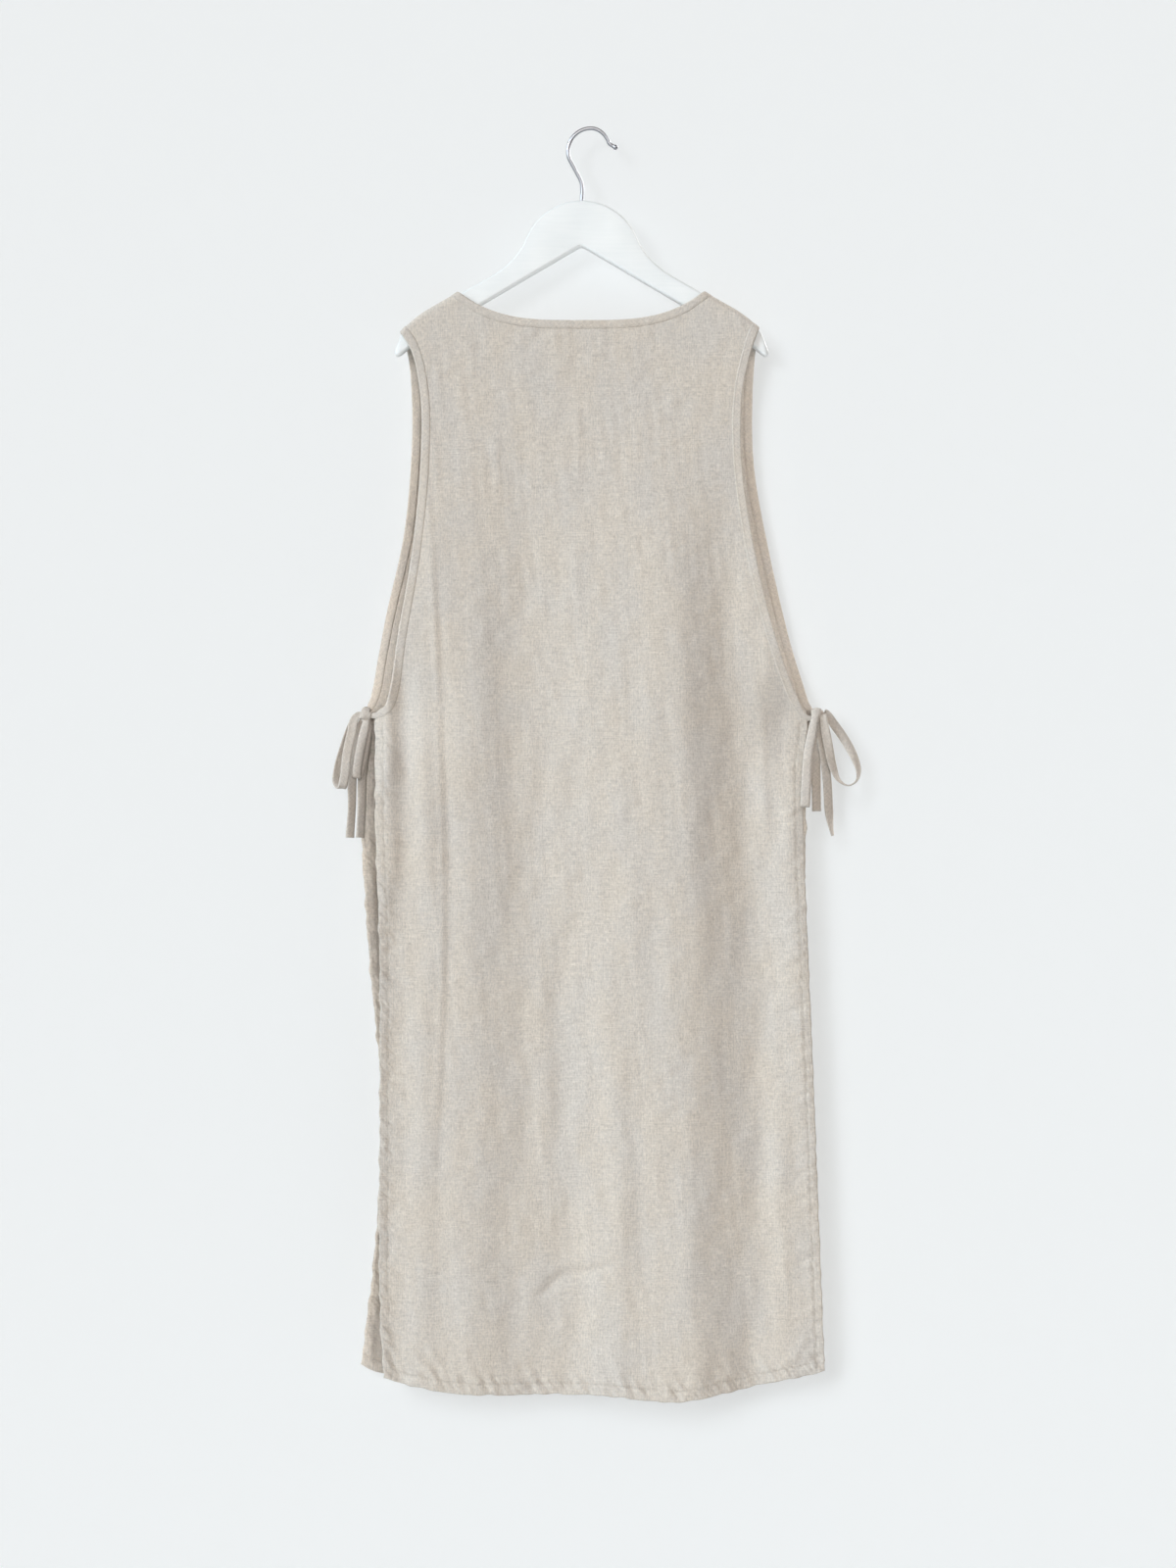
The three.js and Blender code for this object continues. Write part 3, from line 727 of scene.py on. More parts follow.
def creaseRise(cut, x, z):
    # each crease is a low step with a ridge on it beside a polyline: distance across times a bell, and a
    # bell, faded at both ends
    total = np.zeros_like(x)
    for width, depth, points in cut["creases"]:
        way = throughPoints(points, creaseForm["steps"])[0]
        run = unit(np.diff(way, axis=0))
        walked = alongOf(way)
        best = np.full(x.shape, np.inf)
        across, along = np.zeros_like(x), np.zeros_like(x)
        for start, direction, begun, ended in zip(way[:-1], run, walked[:-1], walked[1:]):
            dx, dz = x - start[0], z - start[1]
            on = np.clip(dx * direction[0] + dz * direction[1], 0, ended - begun)
            offX, offZ = dx - on * direction[0], dz - on * direction[1]
            far = np.hypot(offX, offZ)
            nearer = far < best
            best = np.where(nearer, far, best)
            side = offX * direction[1] - offZ * direction[0]
            across = np.where(nearer, np.sign(side) * far, across)
            along = np.where(nearer, begun + on, along)
        ease = walked[-1] * creaseForm["fade"]
        fade = smoothStep(along, 0, ease) * smoothStep(walked[-1] - along, 0, ease)
        t = across / width
        step = creaseForm["step"] * t * np.exp(-np.abs(t) ** creaseForm["stepPower"])
        total += depth * fade * (step + creaseForm["ridge"] * bell(t, 1.0))
    return total


rumple = {"waves": 22, "acrossLength": (24, 95), "downLength": (130, 620), "rise": 0.14, "share": (0.4, 1),
          "least": 0.35, "levels": (260, 620), "seamFade": (6, 60)}
ripple = {"waves": 26, "length": (9, 30), "rise": 0.05}


def rumpleRise(cut, x, z):
    # sum of slanting waves with seeded lengths and phases: long soft ones mostly upright, and short faint
    # ones
    random = np.random.default_rng(cut["seed"])
    total = np.zeros_like(x)
    for _ in range(rumple["waves"]):
        across = 2 * np.pi / random.uniform(*rumple["acrossLength"])
        down = 2 * np.pi / random.uniform(*rumple["downLength"]) * random.choice([-1, 1])
        rise = rumple["rise"] * random.uniform(*rumple["share"])
        total += rise * np.sin(across * x + down * z + random.uniform(0, phaseSpan))
    total *= blendTo(rumple["least"], 1, smoothStep(-z, *rumple["levels"]))
    for _ in range(ripple["waves"]):
        turn = random.uniform(0, np.pi)
        rate = 2 * np.pi / random.uniform(*ripple["length"])
        phase = random.uniform(0, phaseSpan)
        total += ripple["rise"] * np.sin(rate * (np.cos(turn) * x + np.sin(turn) * z) + phase)
    return total * smoothStep(seamHeight(x) - z, *rumple["seamFade"])


def panelDepth(cut, x, z):
    # Y of a panel: round over the arm, standing off further down, folds and rumples, all drawn in towards
    # the knots at the sides, and the creases on top
    stand = (cloth["standOff"] - cloth["wrapDepth"]) * smoothStep(-z, *cloth["standLevels"])
    free = wrapOut(seamHeight(x) - z) + stand + foldRise(cut, x, z) + rumpleRise(cut, x, z)
    wide, tall = cloth["pull"]
    pulls = [np.exp(-(((x - side["tie"][0]) / wide) ** 2) - ((z - side["tie"][1]) / tall) ** 2)
             for side in (cut["left"], cut["right"])]
    pull = np.maximum(*pulls)
    return cut["facing"] * (blendTo(free, cut["tieDepth"], pull) + creaseRise(cut, x, z))


def raised(cut, flat):
    # flat (x, z) points carried onto the panel
    x, z = flat[..., 0], flat[..., 1]
    return stacked(x, panelDepth(cut, x, z), z)


def outward(cut, flat):
    # the panel's outward direction at flat points, from the slope of its depth over 1 mm
    x, z = flat[..., 0], flat[..., 1]
    slopeX = panelDepth(cut, x + 0.5, z) - panelDepth(cut, x - 0.5, z)
    slopeZ = panelDepth(cut, x, z + 0.5) - panelDepth(cut, x, z - 0.5)
    return unit(stacked(-slopeX, 1, -slopeZ)) * cut["facing"]


def neckLine(cut, count):
    # flat-bottomed dip between the neck points: height falls with a power of the distance from the middle
    neck = cut["neck"]
    middle, half = (neck["left"] + neck["right"]) / 2, (neck["right"] - neck["left"]) / 2
    across = -np.cos(np.linspace(0, np.pi, count))
    rim = np.where(across < 0, seamHeight(neck["left"]), seamHeight(neck["right"]))
    z = blendTo(neck["bottom"], rim, np.abs(across) ** neck["power"])
    return stacked(middle + half * across, z)


def shoulderPoint(cut, side):
    # where the seam meets the armhole
    x = cut[side]["shoulder"]
    return x, seamHeight(x)


def sideLine(cut, side):
    # a panel's side edge from the shoulder round the armhole to the hem's corner
    corner = cut["hem"][0 if side == "left" else -1]
    points = [shoulderPoint(cut, side), *cut[side]["armhole"], *cut[side]["side"], corner]
    return throughPoints(points, cloth["sideSteps"])[0]


def topHeight(cut, x):
    # top edge of a panel: the seam over the arms and, between the neck points, the neck's dip
    line = neckLine(cut, 200)
    inNeck = (x > cut["neck"]["left"]) & (x < cut["neck"]["right"])
    return np.where(inNeck, np.interp(x, line[:, 0], line[:, 1]) - cloth["tuck"], seamHeight(x))


weave = {
    "width": 430,
    "length": 1110,
    "edge": 1.35,  # fine steps near a panel's edges, then wider ones
    "across": 2.75,
    "down": 2.75,
    "fineAcross": 12,
    "fineDown": 16,
    "apart": 0.8,
}

hemming = {
    "waver": [(17, 0.34), (23, 0.34), (34, 0.34), (58, 0.34)],  # lengths and heights of waves at an edge
    "pucker": [(11.3, 0.6), (14.9, 0.7), (21.3, 0.6), (37, 0.5)],  # and of the gathers across a hem
    "waverSeeds": {"left": 3, "right": 5, "hem": 7},
    "puckerSeeds": {"left": 31, "right": 37, "hem": 41},
    "waverOver": 60,
    "bottomWaver": 0.8,
    "tuckOver": 12,
    "tuckTop": (-240, -205),  # heights between which the tuck fades out at the shoulder
    "start": (-2, 14),  # distances below a knot between which a side hem begins
    "edgeEase": 0.7,
    "grooveSpread": 1.1,
    "grooveDepth": 0.5,
    "slant": 0.55,
    "gatherSpread": 13,
    "gatherRise": 0.62,
    "crinkle": (0.9, 1.9),  # in widths of the hem, where the crinkle begins to fade and ends
    "seamShade": (0.7, 0.3),  # painted stitch-groove shade: the even part, and the part with the gathers
}


def fineStops(total, step, ends):
    # stops from 0 to the total: fine steps at both ends and even ones between
    start = np.arange(0, ends, weave["edge"])
    middle = np.linspace(ends, total - ends, int((total - 2 * ends) / step) + 1)
    return np.concatenate([start, middle, (total - start)[::-1]])


def oddCount(stops):
    # stops without their middle one if their count is even, so that a face can skip every second
    return stops if len(stops) % 2 else np.delete(stops, len(stops) // 2)


def panelFlat(cut):
    # grid of flat points: heights run from the top edge to the hem, and each point then slides between the
    # two side edges at its own height; a hemmed edge wavers slightly, as if drawn up by its stitches
    u = oddCount(fineStops(weave["width"], weave["across"], weave["fineAcross"]) / weave["width"])
    below = fineStops(weave["length"], weave["down"], weave["fineDown"])
    w = np.concatenate([wrapDrops, below[below > wrapDrops[-1] + weave["apart"]]]) / weave["length"]
    u, w = np.meshgrid(u, oddCount(w))

    def waver(along, edge):
        # waves along one hemmed edge
        return seededWaves(cut["seed"] + hemming["waverSeeds"][edge], along, hemming["waver"])

    lines = {side: sideLine(cut, side) for side in ("left", "right")}
    hem = throughPoints(cut["hem"], 300)[0]
    topX = blendTo(lines["left"][0, 0], lines["right"][0, 0], u)
    hemX = blendTo(hem[0, 0], hem[-1, 0], u)
    hemZ = np.interp(hemX, hem[:, 0], hem[:, 1]) + hemming["bottomWaver"] * waver(hemX, "hem")
    z = blendTo(topHeight(cut, topX), hemZ, w)
    sides = []
    for side, inward in (("left", 1), ("right", -1)):
        tieZ = cut[side]["tie"][1]
        tucked = cloth["tuck"] * smoothStep(z, tieZ - hemming["tuckOver"], tieZ)
        tucked = tucked * (1 - smoothStep(z, *hemming["tuckTop"]))
        free = smoothStep(-z, -tieZ, -tieZ + hemming["waverOver"])
        shift = tucked + cut["gathers"][side] * waver(z, side) * free
        sides.append(np.interp(-z, -lines[side][:, 1], lines[side][:, 0]) + inward * shift)
    x = blendTo(*sides, u)
    return stacked(x, z), x - sides[0], sides[1] - x, (1 - w) * weave["length"]


def makePanel(cut):
    # linen wall whose side and bottom hems are folded in and stitched: thicker inside the hem line, with a
    # groove along the stitches and gathers across the hem, waves of different lengths beating together
    flat, fromLeft, fromRight, fromHem = panelFlat(cut)
    z = flat[..., 1]
    grid = raised(cut, flat)
    extra, groove, gather, crinkle = [np.zeros_like(z) for _ in range(4)]
    start, full = hemming["start"]
    low, high = hemming["crinkle"]
    for edge, distance, width, along in (
        ("left", fromLeft, cloth["sideHem"], z),
        ("right", fromRight, cloth["sideHem"], z),
        ("hem", fromHem, cloth["bottomHem"], flat[..., 0]),
    ):
        tieZ = 0 if edge == "hem" else cut[edge]["tie"][1]
        shown = smoothStep(-z, -tieZ + start, -tieZ + full)
        amount = shown * cut["gathers"][edge]
        ease = hemming["edgeEase"]
        extra = np.maximum(extra, shown * (1 - smoothStep(distance, width - ease, width + ease)))
        groove += shown * bell(distance - width + cloth["stitchInset"], hemming["grooveSpread"])
        seed = cut["seed"] + hemming["puckerSeeds"][edge]
        pucker = seededWaves(seed, along + hemming["slant"] * distance, hemming["pucker"])
        gather += amount * pucker * bell(distance - width, hemming["gatherSpread"])
        crinkle = np.maximum(crinkle, amount * (1 - smoothStep(distance, width * low, width * high)))
    # painted shade along the hems' stitch lines, deeper where the gathers rise
    even, uneven = hemming["seamShade"]
    seam = np.clip(groove, 0, 1) * (even + uneven * np.clip(gather, -1, 1))
    normals = gridNormals(grid) * cut["facing"]
    grid = grid - normals * (hemming["grooveDepth"] * groove)[..., None]
    grid = grid + normals * (hemming["gatherRise"] * gather)[..., None]
    inside = cloth["half"] + cloth["hemExtra"] * extra
    rows = [grid, inside, flat + cut["mapShift"], seam, crinkle]
    grid, inside, uv, seam, crinkle = [row[:, ::cut["facing"]] for row in rows]
    masks = {"seam": seam, "crinkle": crinkle}
    return closedSheet(f"{cut['name']}_cloth", grid, cloth["half"], inside, uv, 2, masks)


panels = {cut["name"]: makePanel(cut) for cut in cuts}
print("panels")


# Bindings round the neck and armholes

binding = {
    "width": 9,
    "half": 1.15,
    "outerRound": (1.1, 0.06),  # reach of the round at each edge, and the square of its least thickness
    "innerRound": (0.7, 0.25),
    "stitchIn": 1.5,
    "grooveSpread": 0.9,
    "grooveDepth": 0.22,
    "ripples": [(6.1, 1), (8.3, 1), (13.7, 1)],
    "rippleRise": 0.05,
    "rippleSlant": 5,
    "step": 2.2,
    "across": 11,
    "seamHold": 25,
    "seamGap": 1.5,
    "gatherOver": 26,
    "gathered": 0.62,
    "steps": 1200,
    "neckSteps": 900,
}


def biasMap(along, across):
    # cloth map of a strip cut on the bias, its threads at 45 degrees to its run
    return stacked(along + across, along - across) / math.sqrt(2)


def bindingFlat(line, fromSeam, inwardSide):
    # strip inside an edge: each section steps in from the edge at right angles, and near the seam it turns
    # to lie along it, so that its end rests on the seam
    run = unit(np.gradient(line, axis=0))
    inward = stacked(-inwardSide * run[:, 1], inwardSide * run[:, 0])
    hold = 1 - smoothStep(fromSeam, 0, binding["seamHold"])[:, None]
    sign = np.sign(inward[:, 0])
    alongSeam = unit(stacked(sign, seamHeight(line[:, 0] + sign) - seamHeight(line[:, 0])))
    inward = unit(blendTo(inward, alongSeam, hold))
    share = np.linspace(0, 1, binding["across"])[None, :]
    x = line[:, :1] + inward[:, :1] * binding["width"] * share
    z = line[:, 1:] + inward[:, 1:] * binding["width"] * share
    seamZ = seamHeight(x) - seamHeight(line[:, :1]) + line[:, 1:]
    return stacked(x, blendTo(z, seamZ, hold))


def seamStops(length, bothEnds):
    # stops along a binding: close together where it wraps over the arm, then even
    step = binding["step"]
    start = np.concatenate([wrapDrops, [wrapDrops[-1] + binding["seamGap"]]])
    end = (length - start)[::-1] if bothEnds else np.array([length])
    return np.concatenate([start, np.arange(start[-1] + step, end[0], step), end])


def edgeRound(distance, reach, least):
    # thickness near an edge: a quarter round over the reach, never quite nothing
    return np.sqrt(np.clip(1 - (1 - np.clip(distance / reach, 0, 1)) ** 2, least, 1))


def bindingSheet(cut, name, flat, hand):
    # folded strip: thickest along its outer fold, a groove along its stitches near the inner edge, thin at
    # that edge, with a faint slanting ripple
    grid = raised(cut, flat)
    share = np.linspace(0, 1, binding["across"])[None, :]
    along = alongOf(flat[:, 0])[:, None]
    fromInner = (1 - share) * binding["width"]
    across = share * binding["width"]
    outer = edgeRound(across, *binding["outerRound"])
    thick = np.minimum(outer, edgeRound(fromInner, *binding["innerRound"]))
    groove = bell(fromInner - binding["stitchIn"], binding["grooveSpread"])
    slanted = along + binding["rippleSlant"] * share
    ripples = seededWaves(cut["seed"] + len(name), slanted, binding["ripples"]) * binding["rippleRise"]
    half = binding["half"] * thick * (1 + ripples) - binding["grooveDepth"] * groove
    grid, half, uv, groove = [rows[:, ::hand] for rows in (grid, half, biasMap(along, across), groove)]
    # the groove's mask also darkens the colour: painted shade along the stitch line
    return closedSheet(name, grid, half, half, uv, 1, {"seam": groove})


def armholeBinding(cut, side):
    # the armhole's edge from the seam to the knot, narrowing where it is gathered into the knot
    points = [shoulderPoint(cut, side), *cut[side]["armhole"], cut[side]["lead"]]
    line = throughPoints(points, binding["steps"])[0]
    length = alongOf(line)[-1]
    stops = seamStops(length, False)
    hand = 1 if side == "left" else -1
    flat = bindingFlat(walkTo(line, stops), stops, hand)
    gathered = smoothStep(stops, length - binding["gatherOver"], length)[:, None, None]
    middle = flat.mean(axis=1, keepdims=True)
    flat = blendTo(flat, middle + (flat - middle) * binding["gathered"], gathered)
    return flat, bindingSheet(cut, f"{cut['name']}_{side}_armhole_tape", flat, -hand * cut["facing"])


def neckBinding(cut):
    # the neck's edge from seam to seam
    line = neckLine(cut, binding["neckSteps"])
    length = alongOf(line)[-1]
    stops = seamStops(length, True)
    flat = bindingFlat(walkTo(line, stops), np.minimum(stops, length - stops), -1)
    return flat, bindingSheet(cut, f"{cut['name']}_neck_tape", flat, cut["facing"])


tapes = {}
for cut in cuts:
    for edge in edges:
        tapes[cut["name"], edge] = neckBinding(cut) if edge == "neck" else armholeBinding(cut, edge)
print("bindings")


# Ties: each goes from its knot round a loop, back through the knot and down a tail

tie = {
    "width": 9.5,
    "half": 0.8,
    "step": 1.6,
    "across": 9,
    "gripReach": 13,
    "gripNarrow": 0.34,
    "cup": 0.5,
    "cupLength": 23,
    "cupMiddle": 0.4,
    "endFold": (5, 4),  # distances from the end between which the fold begins
    "endExtra": 0.5,
    "stitchIn": 1.3,
    "grooveSpread": 0.9,
}
wrap = {
    "turn": (-0.35, 4 * math.pi + 0.55),
    "steps": 150,
    "across": 13,
    "half": 0.7,
    "grow": (0.94, 0.1),  # size of the first round, and what each round adds
    "full": (0.86, 0.2),  # size at the band's edges, and what its middle adds
    "uneven": 0.03,
    "widths": (0.62, 0.4),  # the band's own width and its shift from the first round to the second
    "pinch": 0.1,
    "mapHalf": 5,
}
knots = {
    "left": {"centre": (-230.2, -3, -599), "radius": (4.4, 6.3), "half": 5.6, "lean": 12},
    "right": {"centre": (231.3, -3.5, -601), "radius": (4.7, 6.3), "half": 5.8, "lean": -10},
}

# rows of x, y, z and the strip's yaw, from flat across the back (0) to edge-on (90)
tieRoutes = {
    "left_back": {
        "loop": [(-238.6, 2.5, -597, 70), (-246, 4, -608, 65), (-254, 5, -630, 60), (-260, 3, -654, 50),
                 (-260, -2, -669, 30), (-255, -7, -674, 15), (-251.5, -10, -662, 5),
                 (-249, -10.5, -640, 5), (-245, -9, -620, 5), (-240.6, -5, -602, 0)],
        "tail": [(-234.5, -2.2, -607.6, 0), (-240, -0.8, -632, 10), (-244.5, -0.8, -664, 20),
                 (-245, 0, -695, 40), (-247, 0, -725, 30)],
    },
    "left_front": {
        "loop": [(-230, -6.6, -607.6, 0), (-233, -7.5, -622, 10), (-237, -7.8, -642, 15),
                 (-239.5, -7, -660, 15), (-239.5, -4.6, -663.5, 15), (-236.5, -3.4, -656, 15),
                 (-232, -3.6, -636, 10), (-228.5, -4.3, -607.6, 0)],
        "tail": [(-229, 0, -606.4, 0), (-231, 3.4, -632, 15), (-234.5, 3.6, -664, 20),
                 (-235, 1, -695, 30), (-236.5, 0, -725, 30)],
    },
    "right_back": {
        "loop": [(239.5, -1, -597, 5), (250, -1, -610, 5), (261, -1.5, -626, 10), (269, -2.5, -641, 25),
                 (274, -3, -656, 52), (271.5, -4, -667, 75), (263, -5.5, -671.5, 85),
                 (253.5, -7.5, -666, 62), (247, -9.5, -652, 30), (242.5, -10.5, -632, 10),
                 (238.5, -9.6, -610, 0), (236.5, -8.6, -600, 0)],
        "tail": [(233, -3.3, -609, 0), (238, -3, -636, 20), (242, -2, -668, 15), (244, -1, -698, 20),
                 (247.5, -1, -723, 78)],
    },
    "right_front": {
        "loop": [(231.8, -6.6, -592.8, 0), (229.8, -10.9, -598.5, 0), (227.6, -13, -608, 0),
                 (224.5, -16.6, -622, 0), (220.5, -22, -642, 0), (218.5, -25.4, -668, 0),
                 (217.5, -26.2, -690, 0), (217.5, -24.7, -693, 0), (218, -23.2, -690, 0),
                 (219.5, -21.8, -668, 0), (222, -18, -642, 0), (226, -11.5, -624, 0),
                 (229.5, -5.4, -610, 0)],
        "tail": [(230.5, -1.1, -608.4, 0), (230.5, 1.5, -630, 0), (231, 3, -662, 5),
                 (231.5, 2, -698, 10)],
    },
}


def stripEdge(share):
    # thickness across a strip: full over its middle, rounded off close to both edges
    return np.sqrt(np.clip(1 - np.abs(share) ** 6, 0.12, 1))


def makeTie(name, route, knot):
    # flat strip along a route: its width stays level and turns with the yaw, narrows where the knot grips
    # it, cups a little across, and its cut end is folded double
    centre = (*knot["centre"], route["loop"][-1][3])
    start = (*knot["centre"], route["loop"][0][3])
    rows = np.array([start, *route["loop"], centre, *route["tail"]], float)
    length = alongOf(throughPoints(rows[:, :3], 400)[0])[-1]
    line, place = throughPoints(rows[:, :3], int(length / tie["step"]))
    yaw = np.radians(np.interp(place, np.arange(len(rows)), rows[:, 3]))
    run = unit(np.gradient(line, axis=0))
    across = stacked(np.cos(yaw), np.sin(yaw), 0)
    across = unit(across - run * (across * run).sum(axis=1, keepdims=True))
    gripped = bell(np.linalg.norm(line - np.array(knot["centre"]), axis=1), tie["gripReach"])
    along = alongOf(line)
    width = tie["width"] * (1 - tie["gripNarrow"] * gripped)
    share = np.linspace(-1, 1, tie["across"])
    grid = line[:, None, :] + across[:, None, :] * (width / 2)[:, None, None] * share[None, :, None]
    face = unit(np.cross(across, run))
    cup = tie["cup"] + tie["cup"] * np.sin(along / tie["cupLength"])
    grid = grid + face[:, None, :] * (cup[:, None] * (share ** 2 - tie["cupMiddle"])[None, :])[..., None]
    foldStart, foldFull = tie["endFold"]
    folded = 1 + tie["endExtra"] * smoothStep(along, along[-1] - foldStart, along[-1] - foldFull)
    half = tie["half"] * folded[:, None] * stripEdge(share)[None, :]
    aside = share[None, :] * tie["width"] / 2
    # painted shade of a stitch groove near one edge; the groove itself is not modelled
    seam = bell(aside - tie["width"] / 2 + tie["stitchIn"], tie["grooveSpread"])
    return closedSheet(name, grid, half, half, biasMap(along[:, None], aside), 1, {"seam": seam}), line


def makeKnot(name, knot):
    # band wound round the crossing strips: an oval turn a little over twice round, fuller in the middle of
    # its width, the second round leaning, moved along and lying over the first
    turn = np.linspace(*wrap["turn"], wrap["steps"])[:, None]
    share = np.linspace(-1, 1, wrap["across"])[None, :]
    deep, tall = knot["radius"]
    rounds = turn / (2 * np.pi)
    (inner, growth), (thin, swell), (own, shift) = wrap["grow"], wrap["full"], wrap["widths"]
    uneven = wrap["uneven"] * np.sin(3 * turn + 2 * share)
    full = (inner + growth * rounds) * (thin + swell * (1 - share ** 2) + uneven)
    y = -deep * np.cos(turn) * full
    z = -tall * np.sin(turn) * full
    pinch = 1 - wrap["pinch"] + wrap["pinch"] * np.cos(turn)
    lean = math.tan(math.radians(knot["lean"]))
    x = knot["half"] * (own * share + shift * (1 - rounds)) * pinch + lean * z
    grid = stacked(x, y, z) + np.array(knot["centre"])
    half = wrap["half"] * stripEdge(share)
    uv = biasMap(turn * tall, share * wrap["mapHalf"])
    return closedSheet(name, grid[:, ::-1], half, half, uv[:, ::-1])


knotPieces = {side: makeKnot(f"{side}_knot_wrap", knot) for side, knot in knots.items()}
tiePieces = {name: makeTie(f"{name}_tie", route, knots[name.split("_")[0]])
             for name, route in tieRoutes.items()}
print("ties and knots")


# Stitches

stitch = {
    "pitch": 3.1,
    "length": 2.3,
    "radius": 0.27,
    "sides": 6,
    "places": (-1, -0.75, 0, 0.75, 1),  # along a stitch's half length, and its thickness there
    "thickness": (0.25, 0.8, 1, 0.8, 0.25),
    "lift": 0.1,
    "dip": 0.6,
    "bindingSink": 0.2,
    "hemSink": 0.1,
    "trims": {"left": (24, 14), "right": (24, 14), "neck": (22, 22)},  # points left out at both ends
    "belowTie": 10,
    "hemSteps": 600,
    "hemTrim": 6,
}


def stitchRow(centres, runs, normals):
    # small spindles lying along a seam: one template of rings set at every centre by its run and normal
    share, sides = np.array(stitch["places"]), stitch["sides"]
    thick = np.array(stitch["thickness"]) * stitch["radius"]
    turn = np.linspace(0, 2 * np.pi, sides, endpoint=False)
    lie = np.repeat(share * stitch["length"] / 2, sides)
    aside = np.outer(thick, np.cos(turn)).ravel()
    arch = stitch["radius"] * (stitch["lift"] - stitch["dip"] * share ** 4)
    up = np.outer(thick, np.sin(turn)).ravel() + np.repeat(arch, sides)
    side = unit(np.cross(normals, runs))
    return (centres[:, None] + runs[:, None] * lie[:, None] + side[:, None] * aside[:, None]
            + normals[:, None] * up[:, None])


def stitchMesh(name, seams):
    # all the stitches of one face of a panel, joined
    points = np.concatenate([stitchRow(*seam) for seam in seams])
    count, size = points.shape[:2]
    corner, following = ringCorners(size // stitch["sides"], stitch["sides"])
    starts = np.arange(count)[:, None] * size
    quads = quadsBetween(corner, following)
    faces = (starts[:, None] + quads[None]).reshape(-1, 4).tolist()
    for cap in (corner[0, ::-1], corner[-1]):
        faces += (starts + cap[None]).tolist()
    return putMesh(name, points.reshape(-1, 3), faces)


def seamOn(cut, line, lift, inside):
    # stitch places along a flat line on a panel, lifted off its outer or inner face
    stops = np.arange(stitch["pitch"] / 2, alongOf(line)[-1], stitch["pitch"])
    flat = walkTo(line, stops)
    centres = raised(cut, flat)
    normals = outward(cut, flat) * (-1 if inside else 1)
    return centres + normals * lift, unit(np.gradient(centres, axis=0)), normals


def hemLines(cut):
    # stitch lines just inside the edge of the side hems and the bottom hem
    lines = []
    bottom = int(cloth["sideSteps"] * cloth["bottomHem"] / weave["length"])
    for side, inward in (("left", 1), ("right", -1)):
        line = sideLine(cut, side)
        below = line[:, 1] < cut[side]["tie"][1] - stitch["belowTie"]
        shift = np.array([inward * (cloth["sideHem"] - cloth["stitchInset"]), 0])
        lines.append((line[below] + shift)[:-bottom])
    hem = throughPoints(cut["hem"], stitch["hemSteps"])[0]
    hem = hem + np.array([0, cloth["bottomHem"] - cloth["stitchInset"]])
    return lines + [hem[stitch["hemTrim"]:-stitch["hemTrim"]]]


def makeStitches(cut, face, inside):
    # rows of stitches along the bindings and the hems, on one face of a panel
    seams = []
    for edge, (first, last) in stitch["trims"].items():
        flat = tapes[cut["name"], edge][0]
        line = blendTo(flat[:, 0], flat[:, -1], 1 - binding["stitchIn"] / binding["width"])
        seams.append(seamOn(cut, line[first:-last], binding["half"] - stitch["bindingSink"], inside))
    lift = cloth["half"] + (cloth["hemExtra"] if inside else -stitch["hemSink"])
    seams += [seamOn(cut, line, lift, inside) for line in hemLines(cut)]
    return stitchMesh(f"{cut['name']}_{face}_stitches", seams)


stitchPieces = {}
for cut in cuts:
    for face, inside in (("outer", False), ("inner", True)):
        stitchPieces[cut["name"], face] = makeStitches(cut, face, inside)
print("stitches")


# Shoulder seams, where the two panels are joined over the arms

ridge = {"halfWide": 2.6, "rise": 0.75, "round": 0.35, "half": 0.35, "inset": 0.6, "mapShift": 300}


def makeShoulderSeam(name, start, end):
    # low rounded ridge along the seam, from armhole to neck
    x = np.linspace(start + ridge["inset"], end - ridge["inset"], 60)[:, None]
    share = np.linspace(-1, 1, 9)[None, :]
    z = seamHeight(x) + ridge["rise"] - ridge["round"] * share ** 2
    y = ridge["halfWide"] * share
    uv = stacked(x, y + ridge["mapShift"])
    return closedSheet(name, stacked(x, y, z), ridge["half"], ridge["half"], uv)


seamPieces = [
    makeShoulderSeam("left_shoulder_seam", backCut["left"]["shoulder"], backCut["neck"]["left"]),
    makeShoulderSeam("right_shoulder_seam", backCut["neck"]["right"], backCut["right"]["shoulder"]),
]
print("shoulder seams")


# Materials

